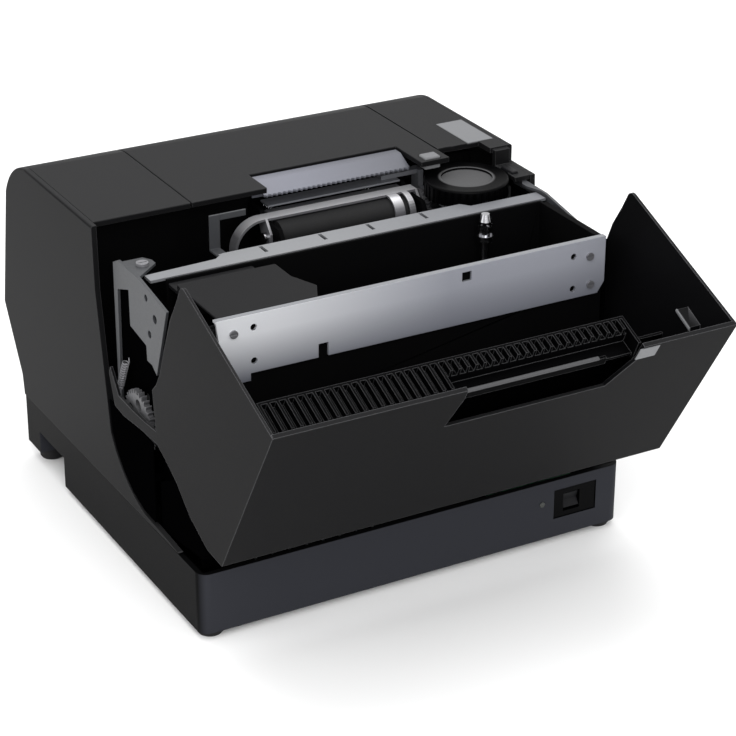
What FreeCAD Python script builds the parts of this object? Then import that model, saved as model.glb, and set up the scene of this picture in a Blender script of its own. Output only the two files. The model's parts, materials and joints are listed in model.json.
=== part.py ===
"""Two-station receipt printer, front cover resting open on its stop.

Frame: millimetres, +X to the right seen from the front, +Y to the back, +Z up.
The origin is at the middle of the bounding box in plan, on the surface that the feet stand on.
"""
import FreeCAD, Part
import math
import os

V = FreeCAD.Vector
X_AXIS = V(1, 0, 0)
Y_AXIS = V(0, 1, 0)
Z_AXIS = V(0, 0, 1)

# ---- driving dimensions ------------------------------------------------------------------
BODY_WIDTH = 250.0
SHELL = 3.0                 # wall of the casing mouldings
TOP_Z = 180.5               # flat top of the casing
BASE_TOP_Z = 37.5           # top rim of the base
BASE_BOTTOM_Z = 3.5         # underside of the base, above the feet
BASE_FRONT_Y = -84.5
BASE_REAR_Y = 146.6
SIDE = BODY_WIDTH / 2
INNER_SIDE = SIDE - SHELL   # inner face of the side panels
GAP = 0.3                   # parting gap between neighbouring mouldings

COVER_WALL = 1.6            # side wall of the front cover
COVER_OUTER_X = 126.8
COVER_PANEL = 2.5           # front panel of the front cover
COVER_PIVOT = (-84.5, 75.0)     # y, z
COVER_PIN_R = 3.0
EAR_X = (117.0, 121.7)      # chassis ears that carry the cover pins

LID_X = (-66.5, 84.5)       # the hinged receipt cover between its two side covers
LID_PIVOT = (150.0, 152.0)
LID_PIN_R = 2.0

RUN_FIT = 0.05              # radial clearance of turning and sliding fits

FRAME_TOP_Z = 168.3         # top of the slip chassis
PLATE_X = (-108.5, 113.5)
PLATE_Y = -76.0
PLATE_Z = (137.3, 168.3)
SHEET = 1.5                 # chassis sheet metal

SLIP_Z = 98.0               # plane that the slip travels in
FEED_YZ = (-13.0, 91.0)     # slip feed shaft
FEED_ROLLER_R = 7.0
PINCH_ROLLER_R = 5.0
GUIDE_SHAFTS = ((-60.0, 116.0), (-42.0, 116.0))
GUIDE_SHAFT_R = 3.0
CARRIAGE_X = (-100.0, -60.0)
PULLEY_X = (-100.0, 104.0)
PULLEY_Z = 116.0
PULLEY_R = 6.0
BELT_Y = (-33.5, -29.5)
BELT_T = 1.2
SPINDLE_XY = (74.0, -22.0)

PAPER_X = (-17.0, 63.0)     # 80 mm paper
PLATEN_YZ = (40.0, 152.0)
PLATEN_R = 8.0
WHEEL_XY = (89.5, 23.0)
WHEEL_R = 23.0
WHEEL_PINION_TEETH = 16
GEAR_MODULE = 1.0

os.makedirs("parts", exist_ok=True)
NODES = {}


# ---- helpers -----------------------------------------------------------------------------
def box(x0, x1, y0, y1, z0, z1):
    return Part.makeBox(x1 - x0, y1 - y0, z1 - z0, V(x0, y0, z0))


def rod(axis, radius, start, length):
    return Part.makeCylinder(radius, length, V(*start), axis)


def rod_x(yz, radius, x0, x1):
    return rod(X_AXIS, radius, (x0, yz[0], yz[1]), x1 - x0)


def join(shapes):
    result = shapes[0]
    if len(shapes) > 1:
        result = result.fuse(shapes[1:])
    return result.removeSplitter()


def face_yz(points, x):
    """Closed face of straight edges in the plane of constant x."""
    corners = [V(x, y, z) for y, z in points]
    return Part.Face(Part.makePolygon(corners + corners[:1]))


def slab_x(points, x0, x1):
    """Prism between x0 and x1 with the outline given as (y, z)."""
    return face_yz(points, x0).extrude(V(x1 - x0, 0, 0))


def slab_y(points, y0, y1):
    """Prism between y0 and y1 with the outline given as (x, z)."""
    corners = [V(x, y0, z) for x, z in points]
    return Part.Face(Part.makePolygon(corners + corners[:1])).extrude(V(0, y1 - y0, 0))


def slab_z(points, z0, z1):
    """Prism between z0 and z1 with the outline given as (x, y)."""
    corners = [V(x, y, z0) for x, y in points]
    return Part.Face(Part.makePolygon(corners + corners[:1])).extrude(V(0, 0, z1 - z0))


def group(solids):
    return Part.makeCompound(solids)


def save(name, shape):
    shape.exportStep("parts/%s.step" % name)
    NODES[name] = shape


def gear_outline(teeth, phase):
    """Straight-flanked gear outline about the origin, a tooth centred on angle phase."""
    pitch_r = GEAR_MODULE * teeth / 2
    tip_r = pitch_r + 0.85 * GEAR_MODULE
    root_r = pitch_r - 1.15 * GEAR_MODULE
    step = 2 * math.pi / teeth
    points = []
    for tooth in range(teeth):
        centre = phase + tooth * step
        for radius, share in ((root_r, -0.27), (tip_r, -0.09), (tip_r, 0.09), (root_r, 0.27)):
            angle = centre + share * step
            points.append((radius * math.cos(angle), radius * math.sin(angle)))
    return points


def gear_x(yz, teeth, x0, x1, bore, phase=0.0):
    """Gear on an axis along X; phase is measured from +Y towards +Z."""
    points = [(yz[0] + a, yz[1] + b) for a, b in gear_outline(teeth, phase)]
    return slab_x(points, x0, x1).cut(rod_x(yz, bore, x0 - 1, x1 + 1))


# ---- casing outline ----------------------------------------------------------------------
def casing_wire(inset, x):
    """Outer outline of the casing in the plane of constant x, moved inwards by inset."""
    top = TOP_Z - inset
    back = 170.7 - inset * 1.02
    a = V(x, 124.5, top)
    mid = V(x, 145.2 - 0.75 * inset, 172.3 - 0.7 * inset)
    b = V(x, 156.6 - inset, 157.8 - 0.3 * inset)
    c = V(x, back, 86.2)
    d = V(x, 148.0 - 0.9 * inset, 46.8)
    e = V(x, BASE_REAR_Y - inset, BASE_TOP_Z)
    return [Part.Arc(a, mid, b).toShape(),
            Part.LineSegment(b, c).toShape(),
            Part.LineSegment(c, d).toShape(),
            Part.LineSegment(d, e).toShape()], a, e


def casing_solid(inset, x0, x1, front_y):
    """Solid inside the casing outline between x0 and x1, from front_y back."""
    edges, a, e = casing_wire(inset, x0)
    f = V(x0, front_y, BASE_TOP_Z)
    g = V(x0, front_y, TOP_Z - inset)
    edges.append(Part.LineSegment(e, f).toShape())
    edges.append(Part.LineSegment(f, g).toShape())
    edges.append(Part.LineSegment(g, a).toShape())
    return Part.Face(Part.Wire(edges)).extrude(V(x1 - x0, 0, 0))


def casing_skin(x0, x1, front_y):
    """Skin SHELL thick that follows the outline between x0 and x1."""
    return casing_solid(0, x0, x1, front_y).cut(casing_solid(SHELL, x0 - 1, x1 + 1, front_y - 1))


# ---- base --------------------------------------------------------------------------------
LEG_Y = (128.0, BASE_REAR_Y)
LEG_X = 22.0
STEP_Y = 92.5               # behind this the underside steps up
STEP_Z = 21.4
SWITCH_X = (82.5, 109.0)
SWITCH_Z = (14.3, 31.5)
FOOT_R = 7.0
FOOT_XY = ((-116.0, -76.0), (116.0, -76.0), (-114.0, 137.5), (114.0, 137.5))
BOARD_Z = 45.0
BOARD_POST_X = (-95.0, 30.0)
BOARD_POST_Y = (52.0, 133.0)


def rounded_block(x0, x1, y0, y1, z0, z1, radius, front_only=False):
    block = box(x0, x1, y0, y1, z0, z1)
    edges = [e for e in block.Edges if abs(e.Vertexes[0].Z - e.Vertexes[-1].Z) > 0.5]
    if front_only:
        edges = [e for e in edges if e.Vertexes[0].Y < (y0 + y1) / 2]
    return block.makeFillet(radius, edges)


def make_base_pan():
    half = SIDE - 0.5
    outer = rounded_block(-half, half, BASE_FRONT_Y, BASE_REAR_Y, BASE_BOTTOM_Z, BASE_TOP_Z, 6, True)
    outer = outer.cut(box(-SIDE, SIDE, STEP_Y, BASE_REAR_Y + 1, 0, STEP_Z))
    inner = box(-half + SHELL, half - SHELL, BASE_FRONT_Y + SHELL, STEP_Y - SHELL,
                BASE_BOTTOM_Z + SHELL, BASE_TOP_Z + 1)
    inner_rear = box(-half + SHELL, half - SHELL, STEP_Y - SHELL - 1, BASE_REAR_Y - SHELL,
                     STEP_Z + SHELL, BASE_TOP_Z + 1)
    legs = []
    for side in (-1, 1):
        legs.append(box(min(side * half, side * (half - LEG_X)), max(side * half, side * (half - LEG_X)),
                        LEG_Y[0], LEG_Y[1], 8.0, STEP_Z + 0.5))
    posts = []
    for x in BOARD_POST_X:
        for y in BOARD_POST_Y:
            floor_z = BASE_BOTTOM_Z if y < STEP_Y else STEP_Z
            posts.append(rod(Z_AXIS, 4.0, (x, y, floor_z + 1), BOARD_Z - floor_z - 1))
    for x in (70.0, 112.0):
        for y in (-70.0, -20.0):
            posts.append(rod(Z_AXIS, 4.0, (x, y, BASE_BOTTOM_Z + 1), 10.0))
    pan = outer.cut([inner, inner_rear])
    pan = join([pan] + legs + posts)
    holes = [box(SWITCH_X[0], SWITCH_X[1], BASE_FRONT_Y - 1, BASE_FRONT_Y + SHELL + 1,
                 SWITCH_Z[0], SWITCH_Z[1])]
    holes.append(rod(Y_AXIS, 1.6, (75.0, BASE_FRONT_Y - 1, 25.0), SHELL + 2))
    for x, y in FOOT_XY:
        if y < 0:
            holes.append(rod(Z_AXIS, 3.0, (x, y, BASE_BOTTOM_Z - 1), 3.0))
        else:
            holes.append(rod(Z_AXIS, 3.0, (x, y, 7.0), 3.0))
    for row in range(8):
        x = -70.0 + row * 10.0
        holes.append(box(x, x + 4.0, -50.0, 10.0, BASE_BOTTOM_Z - 1, BASE_BOTTOM_Z + SHELL + 1))
    return pan.cut(holes)


def make_feet():
    feet = []
    for x, y in FOOT_XY:
        top = BASE_BOTTOM_Z if y < 0 else 8.0
        foot = Part.makeCone(FOOT_R - 0.8, FOOT_R, 1.2, V(x, y, 0)).fuse(
            rod(Z_AXIS, FOOT_R, (x, y, 1.2), top - 1.2))
        feet.append(foot.fuse(rod(Z_AXIS, 3.0, (x, y, top), 2.0)).removeSplitter())
    return group(feet)


def make_switch_bezel():
    x0, x1 = SWITCH_X
    z0, z1 = SWITCH_Z
    frame = box(x0 + GAP, x1 - GAP, BASE_FRONT_Y + 0.4, BASE_FRONT_Y + SHELL, z0 + GAP, z1 - GAP)
    well = box(x0 + 5.0, x1 - 9.0, BASE_FRONT_Y + 1.6, BASE_FRONT_Y + 14.0, z0 + 2.0, z1 - 2.0)
    frame = frame.fuse(well)
    rocker_room = box(x0 + 6.2, x1 - 10.2, BASE_FRONT_Y - 1, BASE_FRONT_Y + 12.5, z0 + 3.2, z1 - 3.2)
    pin = rod_x(ROCKER_YZ, 1.0, x0 + 5.6, x1 - 9.6)
    return frame.cut([rocker_room, pin])


ROCKER_YZ = (BASE_FRONT_Y + 7.0, 22.9)


def make_power_rocker():
    x0 = SWITCH_X[0] + 6.6
    x1 = SWITCH_X[1] - 10.6
    y, z = ROCKER_YZ
    outline = ((y - 5.6, z + 4.3), (y - 4.2, z), (y - 6.6, z - 3.6), (y - 2.0, z - 3.9), (y + 2.0, z - 2.0),
               (y + 2.0, z + 2.0), (y - 2.0, z + 4.3))
    rocker = slab_x(outline, x0, x1)
    return rocker.fuse(rod_x(ROCKER_YZ, 1.0 - RUN_FIT, x0 - 0.8, x1 + 0.8)).removeSplitter()


# ---- side panels and top covers ----------------------------------------------------------
def make_side_panel(side):
    x_out = side * SIDE
    x_in = side * INNER_SIDE
    edges, a, e = casing_wire(0, x_out)
    front_top = 34.0
    p = [V(x_out, BASE_REAR_Y, BASE_TOP_Z), V(x_out, -60.0, 38.6), V(x_out, -44.0, 39.8),
         V(x_out, -19.9, 40.8), V(x_out, 7.9, 53.8), V(x_out, 20.6, 69.0), V(x_out, 26.8, 107.9),
         V(x_out, 33.0, 146.0)]
    edges.append(Part.LineSegment(p[0], p[1]).toShape())
    edges.append(Part.LineSegment(p[1], p[2]).toShape())
    edges.append(Part.LineSegment(p[2], p[3]).toShape())
    edges.append(Part.Arc(p[3], p[4], p[5]).toShape())
    edges.append(Part.LineSegment(p[5], p[6]).toShape())
    edges.append(Part.LineSegment(p[6], p[7]).toShape())
    last = p[7]
    if side > 0:
        steps = (V(x_out, 33.4, 161.8), V(x_out, 9.5, 161.8), V(x_out, 9.9, 171.0),
                 V(x_out, front_top, 171.0), V(x_out, front_top, TOP_Z))
    else:
        steps = (V(x_out, front_top, TOP_Z),)
    for point in steps:
        edges.append(Part.LineSegment(last, point).toShape())
        last = point
    edges.append(Part.LineSegment(last, a).toShape())
    face = Part.Face(Part.Wire(edges))
    panel = face.extrude(V(x_in - x_out, 0, 0))
    outer_edges = []
    for edge in panel.Edges:
        ends = [v.X for v in edge.Vertexes]
        if all(abs(value - x_out) < 1e-6 for value in ends):
            centre = edge.CenterOfMass
            if centre.z > 150 and centre.y > 40 or centre.y > 150:
                outer_edges.append(edge)
    return panel.makeFillet(1.2, outer_edges)


LIP_Z = 149.0
REAR_TOP_Z = 145.0


def top_strip(x0, x1, front_y):
    skin = casing_skin(x0, x1, front_y)
    return skin.common(box(x0, x1, front_y, 200, LIP_Z, 200))


def make_left_top_cover():
    cover = top_strip(-INNER_SIDE + GAP, LID_X[0] - 0.7, LID_FRONT_Y)
    inner_wall = box(LID_X[0] - 2.7, LID_X[0] - 0.7, 66.0, 122.0, 168.0, TOP_Z - 1)
    return join([cover, inner_wall])


def make_right_top_cover():
    x0 = LID_X[1] + 0.7
    x1 = INNER_SIDE - GAP
    cover = top_strip(x0, x1, 34.0)
    inner_wall = box(x0, x0 + 2.0, 50.0, 122.0, 168.0, TOP_Z - 1)
    deck = box(112.6, x1, 10.3, 33.0, 168.6, 171.0)
    deck_riser = box(112.6, x1, 31.0, 34.0, 168.6, TOP_Z - 1)
    cover = join([cover, inner_wall, deck, deck_riser])
    drum_well = rod(Z_AXIS, WHEEL_R + 1.2, (WHEEL_XY[0], WHEEL_XY[1], 150.0), 40.0)
    corner = box(x0 - 1, 111.0, 30.0, 46.5, 150.0, 190.0)
    badge = box(BADGE[0], BADGE[1], BADGE[2], BADGE[3], TOP_Z - 0.6, TOP_Z + 1)
    button = box(FEED_BUTTON[0], FEED_BUTTON[1], FEED_BUTTON[2], FEED_BUTTON[3], 160, 190)
    return cover.cut([drum_well, corner, badge, button])


BADGE = (104.0, 120.5, 46.5, 81.0)
FEED_BUTTON = (113.4, 117.8, 15.0, 27.0)


def make_badge_plate():
    return box(BADGE[0] + 0.1, BADGE[1] - 0.1, BADGE[2] + 0.1, BADGE[3] - 0.1, TOP_Z - 0.6, TOP_Z + 0.2)


def make_feed_button():
    x0, x1, y0, y1 = FEED_BUTTON
    cap = box(x0 + 0.25, x1 - 0.25, y0 + 0.25, y1 - 0.25, 168.7, 172.4)
    top = [e for e in cap.Edges if e.CenterOfMass.z > 172]
    return cap.makeFillet(0.6, top)


CONNECTORS = ((-96.0, -52.0), (-40.0, -22.0), (-12.0, 6.0), (20.0, 36.0))
INLET_X = (60.0, 84.0)
CONNECTOR_Z = (49.0, 63.0)


def make_rear_cover():
    x1 = INNER_SIDE - GAP
    skin = casing_skin(-x1, x1, 40.0).common(box(-x1, x1, 142.0, 200, BASE_TOP_Z + 0.2, REAR_TOP_Z))
    holes = [box(CONNECTORS[0][0] - 1.0, INLET_X[1] + 1.0, 140.0, 180.0, CONNECTOR_Z[0] - 1.0,
                 CONNECTOR_Z[1] + 1.0)]
    for row in range(7):
        z = 96.0 + row * 6.0
        holes.append(box(-60.0, 60.0, 150.0, 180.0, z, z + 2.2))
    for x in (-110.0, 110.0):
        for z in (95.0, 135.0):
            holes.append(rod(Y_AXIS, 1.6, (x, 145.0, z), 40.0))
    return skin.cut(holes)


def make_case_screws():
    screws = []
    for x in (-110.0, 110.0):
        for z, y in ((95.0, 169.6), (135.0, 161.7)):
            head = rod(Y_AXIS, 3.0, (x, y, z), 1.7)
            screws.append(head.fuse(rod(Y_AXIS, 1.5, (x, y - 9.0, z), 9.2)).cut(
                box(x - 0.4, x + 0.4, y + 0.9, y + 3.0, z - 2.2, z + 2.2)))
    return group(screws)


# ---- receipt cover -----------------------------------------------------------------------
NOTCH_X = (-23.0, 67.0)     # opening in the receipt cover over the cutter
NOTCH_Y = 61.0
LID_FRONT_Y = 39.0
LID_CORNER_Y = 33.0
HINGE_X = (-12.0, 58.0)       # middles of the two lid hinges
RELEASE = (70.5, 80.5, 35.0, 43.0)


def make_receipt_cover():
    x0, x1 = LID_X
    lid = top_strip(x0, x1, LID_FRONT_Y)
    walls = []
    for x in (x0, x1 - 2.0):
        walls.append(box(x, x + 2.0, 72.0, 122.0, 170.0, TOP_Z - 1))
    ears = []
    for x in HINGE_X:
        ears.append(slab_x(((144.0, 171.0), (143.0, 166.0), (146.4, 152.0), (150.0, 148.4), (153.8, 152.0),
                            (154.5, 160.0)), x - 1.5, x + 1.5))
    corner = box(NOTCH_X[1], x1, LID_CORNER_Y, LID_FRONT_Y + 1.0, TOP_Z - SHELL, TOP_Z)
    lid = join([lid, corner] + walls + ears)
    holes = [box(NOTCH_X[0], NOTCH_X[1], 30.0, NOTCH_Y, 170.0, 190.0)]
    holes.append(rod_x(LID_PIVOT, LID_PIN_R + RUN_FIT, x0 - 1, x1 + 1))
    holes.append(box(RELEASE[0], RELEASE[1], RELEASE[2], RELEASE[3], 170.0, 190.0))
    return lid.cut(holes)


def make_lid_pins():
    pins = []
    for x in HINGE_X:
        pins.append(rod_x(LID_PIVOT, LID_PIN_R, x - 4.0, x + 4.0))
    return group(pins)


def make_lid_brackets():
    """Bent sheet brackets behind the paper bucket that hold the ends of the lid pins."""
    y, z = LID_PIVOT
    solids = []
    for x in HINGE_X:
        parts = [box(x - 4.0, x + 4.0, 140.0, 141.5, z - 7.0, z + 6.0)]
        for side in (-4.0, 2.5):
            parts.append(slab_x(((140.0, z - 7.0), (y - 2.6, z - 2.6), (y + 2.4, z - 2.6), (y + 3.3, z),
                                 (y + 2.4, z + 2.8), (140.0, z + 6.0)), x + side, x + side + 1.5))
        solids.append(join(parts).cut(rod_x(LID_PIVOT, LID_PIN_R, x - 9, x + 9)))
    return group(solids)


def make_release_button():
    x0, x1, y0, y1 = RELEASE
    cap = box(x0 + 0.25, x1 - 0.25, y0 + 0.25, y1 - 0.25, 174.5, 181.4)
    top = [e for e in cap.Edges if e.CenterOfMass.z > 181]
    return cap.makeFillet(0.8, top)


# ---- front cover -------------------------------------------------------------------------
APEX = (-78.5, 192.0)
PANEL_TOP = (-171.3, 154.0)
PANEL_BOTTOM = (-115.0, 60.0)
PIN_END_X = 125.8           # the pins stop inside the cover walls
COVER_BACK = ((-99.0, 61.0), (-80.0, 69.6), (-64.7, 82.0), (-49.7, 89.9), (-43.0, 92.7), (-26.9, 92.3),
              (-1.8, 90.1), (9.0, 91.4), (14.8, 107.4), (13.1, 111.4), (3.5, 98.9), (-12.0, 98.2),
              (-27.5, 98.4), (-42.5, 99.4), (-39.7, 121.1), (-44.8, 126.0), (-49.6, 133.5),
              (-53.3, 143.0), (-64.5, 168.8), (-72.2, 180.7))
GUIDE_FRONT = (-168.3, 152.6)
GUIDE_REAR = (-149.0, 161.2)
GUIDE_X = (-123.5, 74.0)
GUIDE_STEP_X = -28.0        # right of this the guide is stepped and the panel cut away
SLOT_POINTS = ((-26.0, 160.0), (-26.0, 148.0), (-30.0, 130.0), (60.0, 130.0), (72.0, 146.0), (72.0, 160.0))
RIB_PITCH = 4.6
RIB_T = 1.5


def panel_offset(point, depth):
    """Point moved from the outer plane of the front panel into the cover."""
    dy = PANEL_TOP[0] - PANEL_BOTTOM[0]
    dz = PANEL_TOP[1] - PANEL_BOTTOM[1]
    length = math.hypot(dy, dz)
    return (point[0] + depth * dz / length, point[1] - depth * dy / length)


def make_front_cover():
    wall_outline = (PANEL_TOP, PANEL_BOTTOM) + COVER_BACK + (APEX,)
    walls = []
    for side in (-1, 1):
        x0, x1 = sorted((side * (COVER_OUTER_X - COVER_WALL), side * COVER_OUTER_X))
        wall = slab_x(wall_outline, x0, x1)
        round_edges = []
        for edge in wall.Edges:
            mid = edge.CenterOfMass
            near_apex = abs(mid.y - APEX[0]) < 0.5 and abs(mid.z - APEX[1]) < 0.5
            if near_apex:
                round_edges.append(edge)
        walls.append(wall.makeFillet(4.0, round_edges))
    inner_top = panel_offset(PANEL_TOP, COVER_PANEL)
    inner_bottom = panel_offset(PANEL_BOTTOM, COVER_PANEL)
    panel = slab_x((PANEL_TOP, PANEL_BOTTOM, inner_bottom, inner_top),
                   -COVER_OUTER_X + 0.5, COVER_OUTER_X - 0.5)
    return_lip = slab_x((PANEL_BOTTOM, (-99.0, 61.0), (-99.0, 63.0), inner_bottom),
                        -COVER_OUTER_X + 0.5, COVER_OUTER_X - 0.5)
    bosses = []
    for side in (-1, 1):
        x0, x1 = sorted((side * (EAR_X[1] + 0.4), side * (COVER_OUTER_X - 0.5)))
        bosses.append(rod_x(COVER_PIVOT, 5.4, x0, x1))
    rib = slab_x(((-133.0, 148.5), (-144.0, 143.0), (-144.0, 140.5), (-132.0, 146.5)),
                 COVER_OUTER_X - 8.0, COVER_OUTER_X - 0.5)
    cover = join(walls + [panel, return_lip, rib] + bosses)
    slot = slab_y(SLOT_POINTS, -180.0, -150.0)
    bores = [rod_x(COVER_PIVOT, COVER_PIN_R + RUN_FIT, -PIN_END_X - 0.1, -EAR_X[1]),
             rod_x(COVER_PIVOT, COVER_PIN_R + RUN_FIT, EAR_X[1], PIN_END_X + 0.1)]
    return cover.cut([slot] + bores)


def make_cover_pins():
    pins = []
    for side in (-1, 1):
        x0, x1 = sorted((side * EAR_X[0], side * PIN_END_X))
        pins.append(rod_x(COVER_PIVOT, COVER_PIN_R, x0, x1))
    return group(pins)


def guide_point(along, up):
    """Point (y, z) on the ribbed slope: along from its front edge, up from its surface."""
    dy = GUIDE_REAR[0] - GUIDE_FRONT[0]
    dz = GUIDE_REAR[1] - GUIDE_FRONT[1]
    length = math.hypot(dy, dz)
    return (GUIDE_FRONT[0] + (along * dy - up * dz) / length,
            GUIDE_FRONT[1] + (along * dz + up * dy) / length)


GUIDE_DEPTH = math.hypot(GUIDE_REAR[0] - GUIDE_FRONT[0], GUIDE_REAR[1] - GUIDE_FRONT[1])
RIB_H = 4.0
STRIP_DEPTH = 8.0           # ribbed strip that runs behind the step


def guide_slab(along0, along1, up0, up1, x0, x1):
    return slab_x((guide_point(along0, up0), guide_point(along1, up0),
                   guide_point(along1, up1), guide_point(along0, up1)), x0, x1)


def make_slip_guide():
    x0, x1 = GUIDE_X
    deep = COVER_PANEL + 0.5
    parts = [guide_slab(deep, GUIDE_DEPTH, -RIB_H - 1.5, -RIB_H, x0, GUIDE_STEP_X),
             guide_slab(GUIDE_DEPTH - STRIP_DEPTH, GUIDE_DEPTH, -RIB_H - 1.5, -RIB_H, x0, x1),
             guide_slab(GUIDE_DEPTH - 1.5, GUIDE_DEPTH, -26.0, 0, x0, x1),
             guide_slab(GUIDE_DEPTH - 1.5, GUIDE_DEPTH, -50.0, -20.0, GUIDE_STEP_X - 14.0, x1 + 30.0)]
    count = int((x1 - x0) / RIB_PITCH)
    for i in range(count + 1):
        x = x0 + i * RIB_PITCH
        front = deep if x < GUIDE_STEP_X else GUIDE_DEPTH - STRIP_DEPTH
        parts.append(guide_slab(front, GUIDE_DEPTH, -RIB_H - 0.5, 0, x, min(x + RIB_T, x1)))
    ledge_up = -9.0
    parts.append(guide_slab(deep + 2.0, GUIDE_DEPTH, ledge_up - 1.5, ledge_up, GUIDE_STEP_X, x1))
    parts.append(guide_slab(deep + 2.0, deep + 3.6, ledge_up - 3.5, ledge_up + 0.8, GUIDE_STEP_X, 58.0))
    parts.append(guide_slab(GUIDE_DEPTH - STRIP_DEPTH, GUIDE_DEPTH - STRIP_DEPTH + 1.2,
                            ledge_up - 0.5, -RIB_H - 0.5, GUIDE_STEP_X, x1))
    parts.append(guide_slab(deep, GUIDE_DEPTH, ledge_up - 1.0, -RIB_H, GUIDE_STEP_X - 1.5, GUIDE_STEP_X))
    parts.append(guide_slab(deep, GUIDE_DEPTH, -12.0, 0, x1 - 1.5, x1))
    parts.append(guide_slab(deep + 4.0, GUIDE_DEPTH, -18.0, 0, x0, x0 + 1.5))
    return join(parts)


# ---- slip chassis ------------------------------------------------------------------------
INNER_WALL_X = (115.5, 117.5)
SIDE_PLATE_X = (118.0, 119.5)
GUARD_X = (124.1, 124.9)
SLIP_FRONT_Y = -72.0
SLIP_REAR_Y = 19.0
MOTOR_PINION_TEETH = 12
FEED_GEAR_TEETH = 32


def mesh_centre(yz, teeth_a, teeth_b, angle):
    """Centre of a gear that meshes at the given angle, with a little backlash."""
    distance = GEAR_MODULE * ((teeth_a + teeth_b) / 2 + 0.2)
    return (yz[0] + distance * math.cos(angle), yz[1] + distance * math.sin(angle))


SLIP_MESH_ANGLE = math.radians(-50.0)
SLIP_PINION_YZ = mesh_centre(FEED_YZ, FEED_GEAR_TEETH, MOTOR_PINION_TEETH, SLIP_MESH_ANGLE)
PLATEN_GEAR_TEETH = 18
RECEIPT_MESH_ANGLE = math.radians(-70.0)
RECEIPT_PINION_YZ = mesh_centre(PLATEN_YZ, PLATEN_GEAR_TEETH, MOTOR_PINION_TEETH, RECEIPT_MESH_ANGLE)
PINCH_YZ = (FEED_YZ[0], FEED_YZ[1] + FEED_ROLLER_R + PINCH_ROLLER_R + 0.4)


def make_slip_frame():
    """Black moulding that carries the slip station: two side walls on a deck."""
    walls = []
    for side in (-1, 1):
        x0, x1 = sorted((side * INNER_WALL_X[0], side * INNER_WALL_X[1]))
        wall = slab_x(((SLIP_FRONT_Y, 46.0), (SLIP_REAR_Y, 46.0), (SLIP_REAR_Y, 164.0),
                       (SLIP_FRONT_Y, 164.0), (SLIP_FRONT_Y, 120.0)), x0, x1)
        walls.append(wall)
    deck = box(-INNER_WALL_X[1], INNER_WALL_X[1], SLIP_FRONT_Y, SLIP_REAR_Y, 46.0, 49.0)
    rear = box(-INNER_WALL_X[1], INNER_WALL_X[1], SLIP_REAR_Y - 2.0, SLIP_REAR_Y, 46.0, 80.0)
    front = box(-INNER_WALL_X[1], INNER_WALL_X[1], SLIP_FRONT_Y, SLIP_FRONT_Y + 2.0, 34.0, 88.0)
    feet = []
    for x in (-100.0, 48.0):
        for y in (-60.0, 5.0):
            feet.append(rod(Z_AXIS, 5.0, (x, y, BASE_BOTTOM_Z + SHELL), 46.5 - BASE_BOTTOM_Z - SHELL))
    ears = []
    for side in (-1, 1):
        x0, x1 = sorted((side * EAR_X[0], side * EAR_X[1]))
        ears.append(slab_x(((-83.5, 46.0), (-34.0, 38.5), (-34.0, 66.0), (-60.0, 80.0), (-78.0, 84.0),
                            (-91.0, 84.0), (-93.0, 72.0)), x0, x1))
    frame = join(walls + [deck, rear, front] + feet + ears)
    holes = [rod_x(COVER_PIVOT, COVER_PIN_R, -SIDE, SIDE), rod_x(FEED_YZ, 3.0 + RUN_FIT, -SIDE, SIDE),
             rod_x(PINCH_YZ, 2.0 + RUN_FIT, -SIDE, SIDE),
             rod_x(SLIP_PINION_YZ, 3.2, -SIDE, 0)]
    for yz in GUIDE_SHAFTS:
        holes.append(rod_x(yz, GUIDE_SHAFT_R, -SIDE, SIDE))
    return frame.cut(holes)


def make_gear_guard():
    """Thin black cover over the lower half of the slip feed gears, on two posts."""
    x0, x1 = -GUARD_X[1], -GUARD_X[0]
    plate = slab_x(((-33.0, 43.0), (-19.5, 43.5), (-6.0, 47.5), (5.0, 54.5), (13.0, 63.0), (18.5, 72.0),
                    (20.5, 89.0), (-33.0, 88.0)), x0, x1)
    posts = [rod_x(yz, 2.0, x0, -INNER_WALL_X[1]) for yz in ((13.5, 84.0), (-32.0 + 3.0, 66.0))]
    return join([plate] + posts)


def make_side_plate(side):
    """Sheet-metal side plate with its bent top flange; side is -1 left, +1 right."""
    outline = ((20.5, 165.2), (14.5, FRAME_TOP_Z), (-11.0, FRAME_TOP_Z), (-43.8, 162.8), (-29.4, 122.8),
               (-24.0, 126.4), (-18.3, 126.4), (-17.8, 134.5), (1.5, 137.6), (2.0, 157.0), (16.0, 152.0),
               (17.0, 104.5), (17.0, 38.2), (20.5, 38.2))
    a, b = SIDE_PLATE_X
    x0, x1 = sorted((side * a, side * b))
    plate = slab_x(outline, x0, x1)
    flange_in = 104.0 if side < 0 else 115.0
    screw_x = 111.0
    flange = slab_z(((side * b, 12.0), (side * (flange_in + 3), 12.0), (side * flange_in, 7.0),
                     (side * flange_in, 2.5), (side * b, -11.0)), FRAME_TOP_Z - SHEET, FRAME_TOP_Z)
    holes = [rod_x((-19.7, 161.0), 1.8, x0 - 1, x1 + 1), rod_x((-29.6, 153.4), 2.3, x0 - 1, x1 + 1),
             rod_x((-22.5, 142.5), 2.0, x0 - 1, x1 + 1),
             rod(Z_AXIS, 1.6, (side * screw_x, 3.0, 160.0), 12.0)]
    return join([plate, flange]).cut(holes)


PLATE_HOLES = ((-88.5, 161.3), (-88.5, 143.6), (94.0, 160.5), (94.2, 142.6))
PLATE_SCREWS = ((-99.3, 160.0), (103.8, 159.0), (104.7, 143.2))


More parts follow.
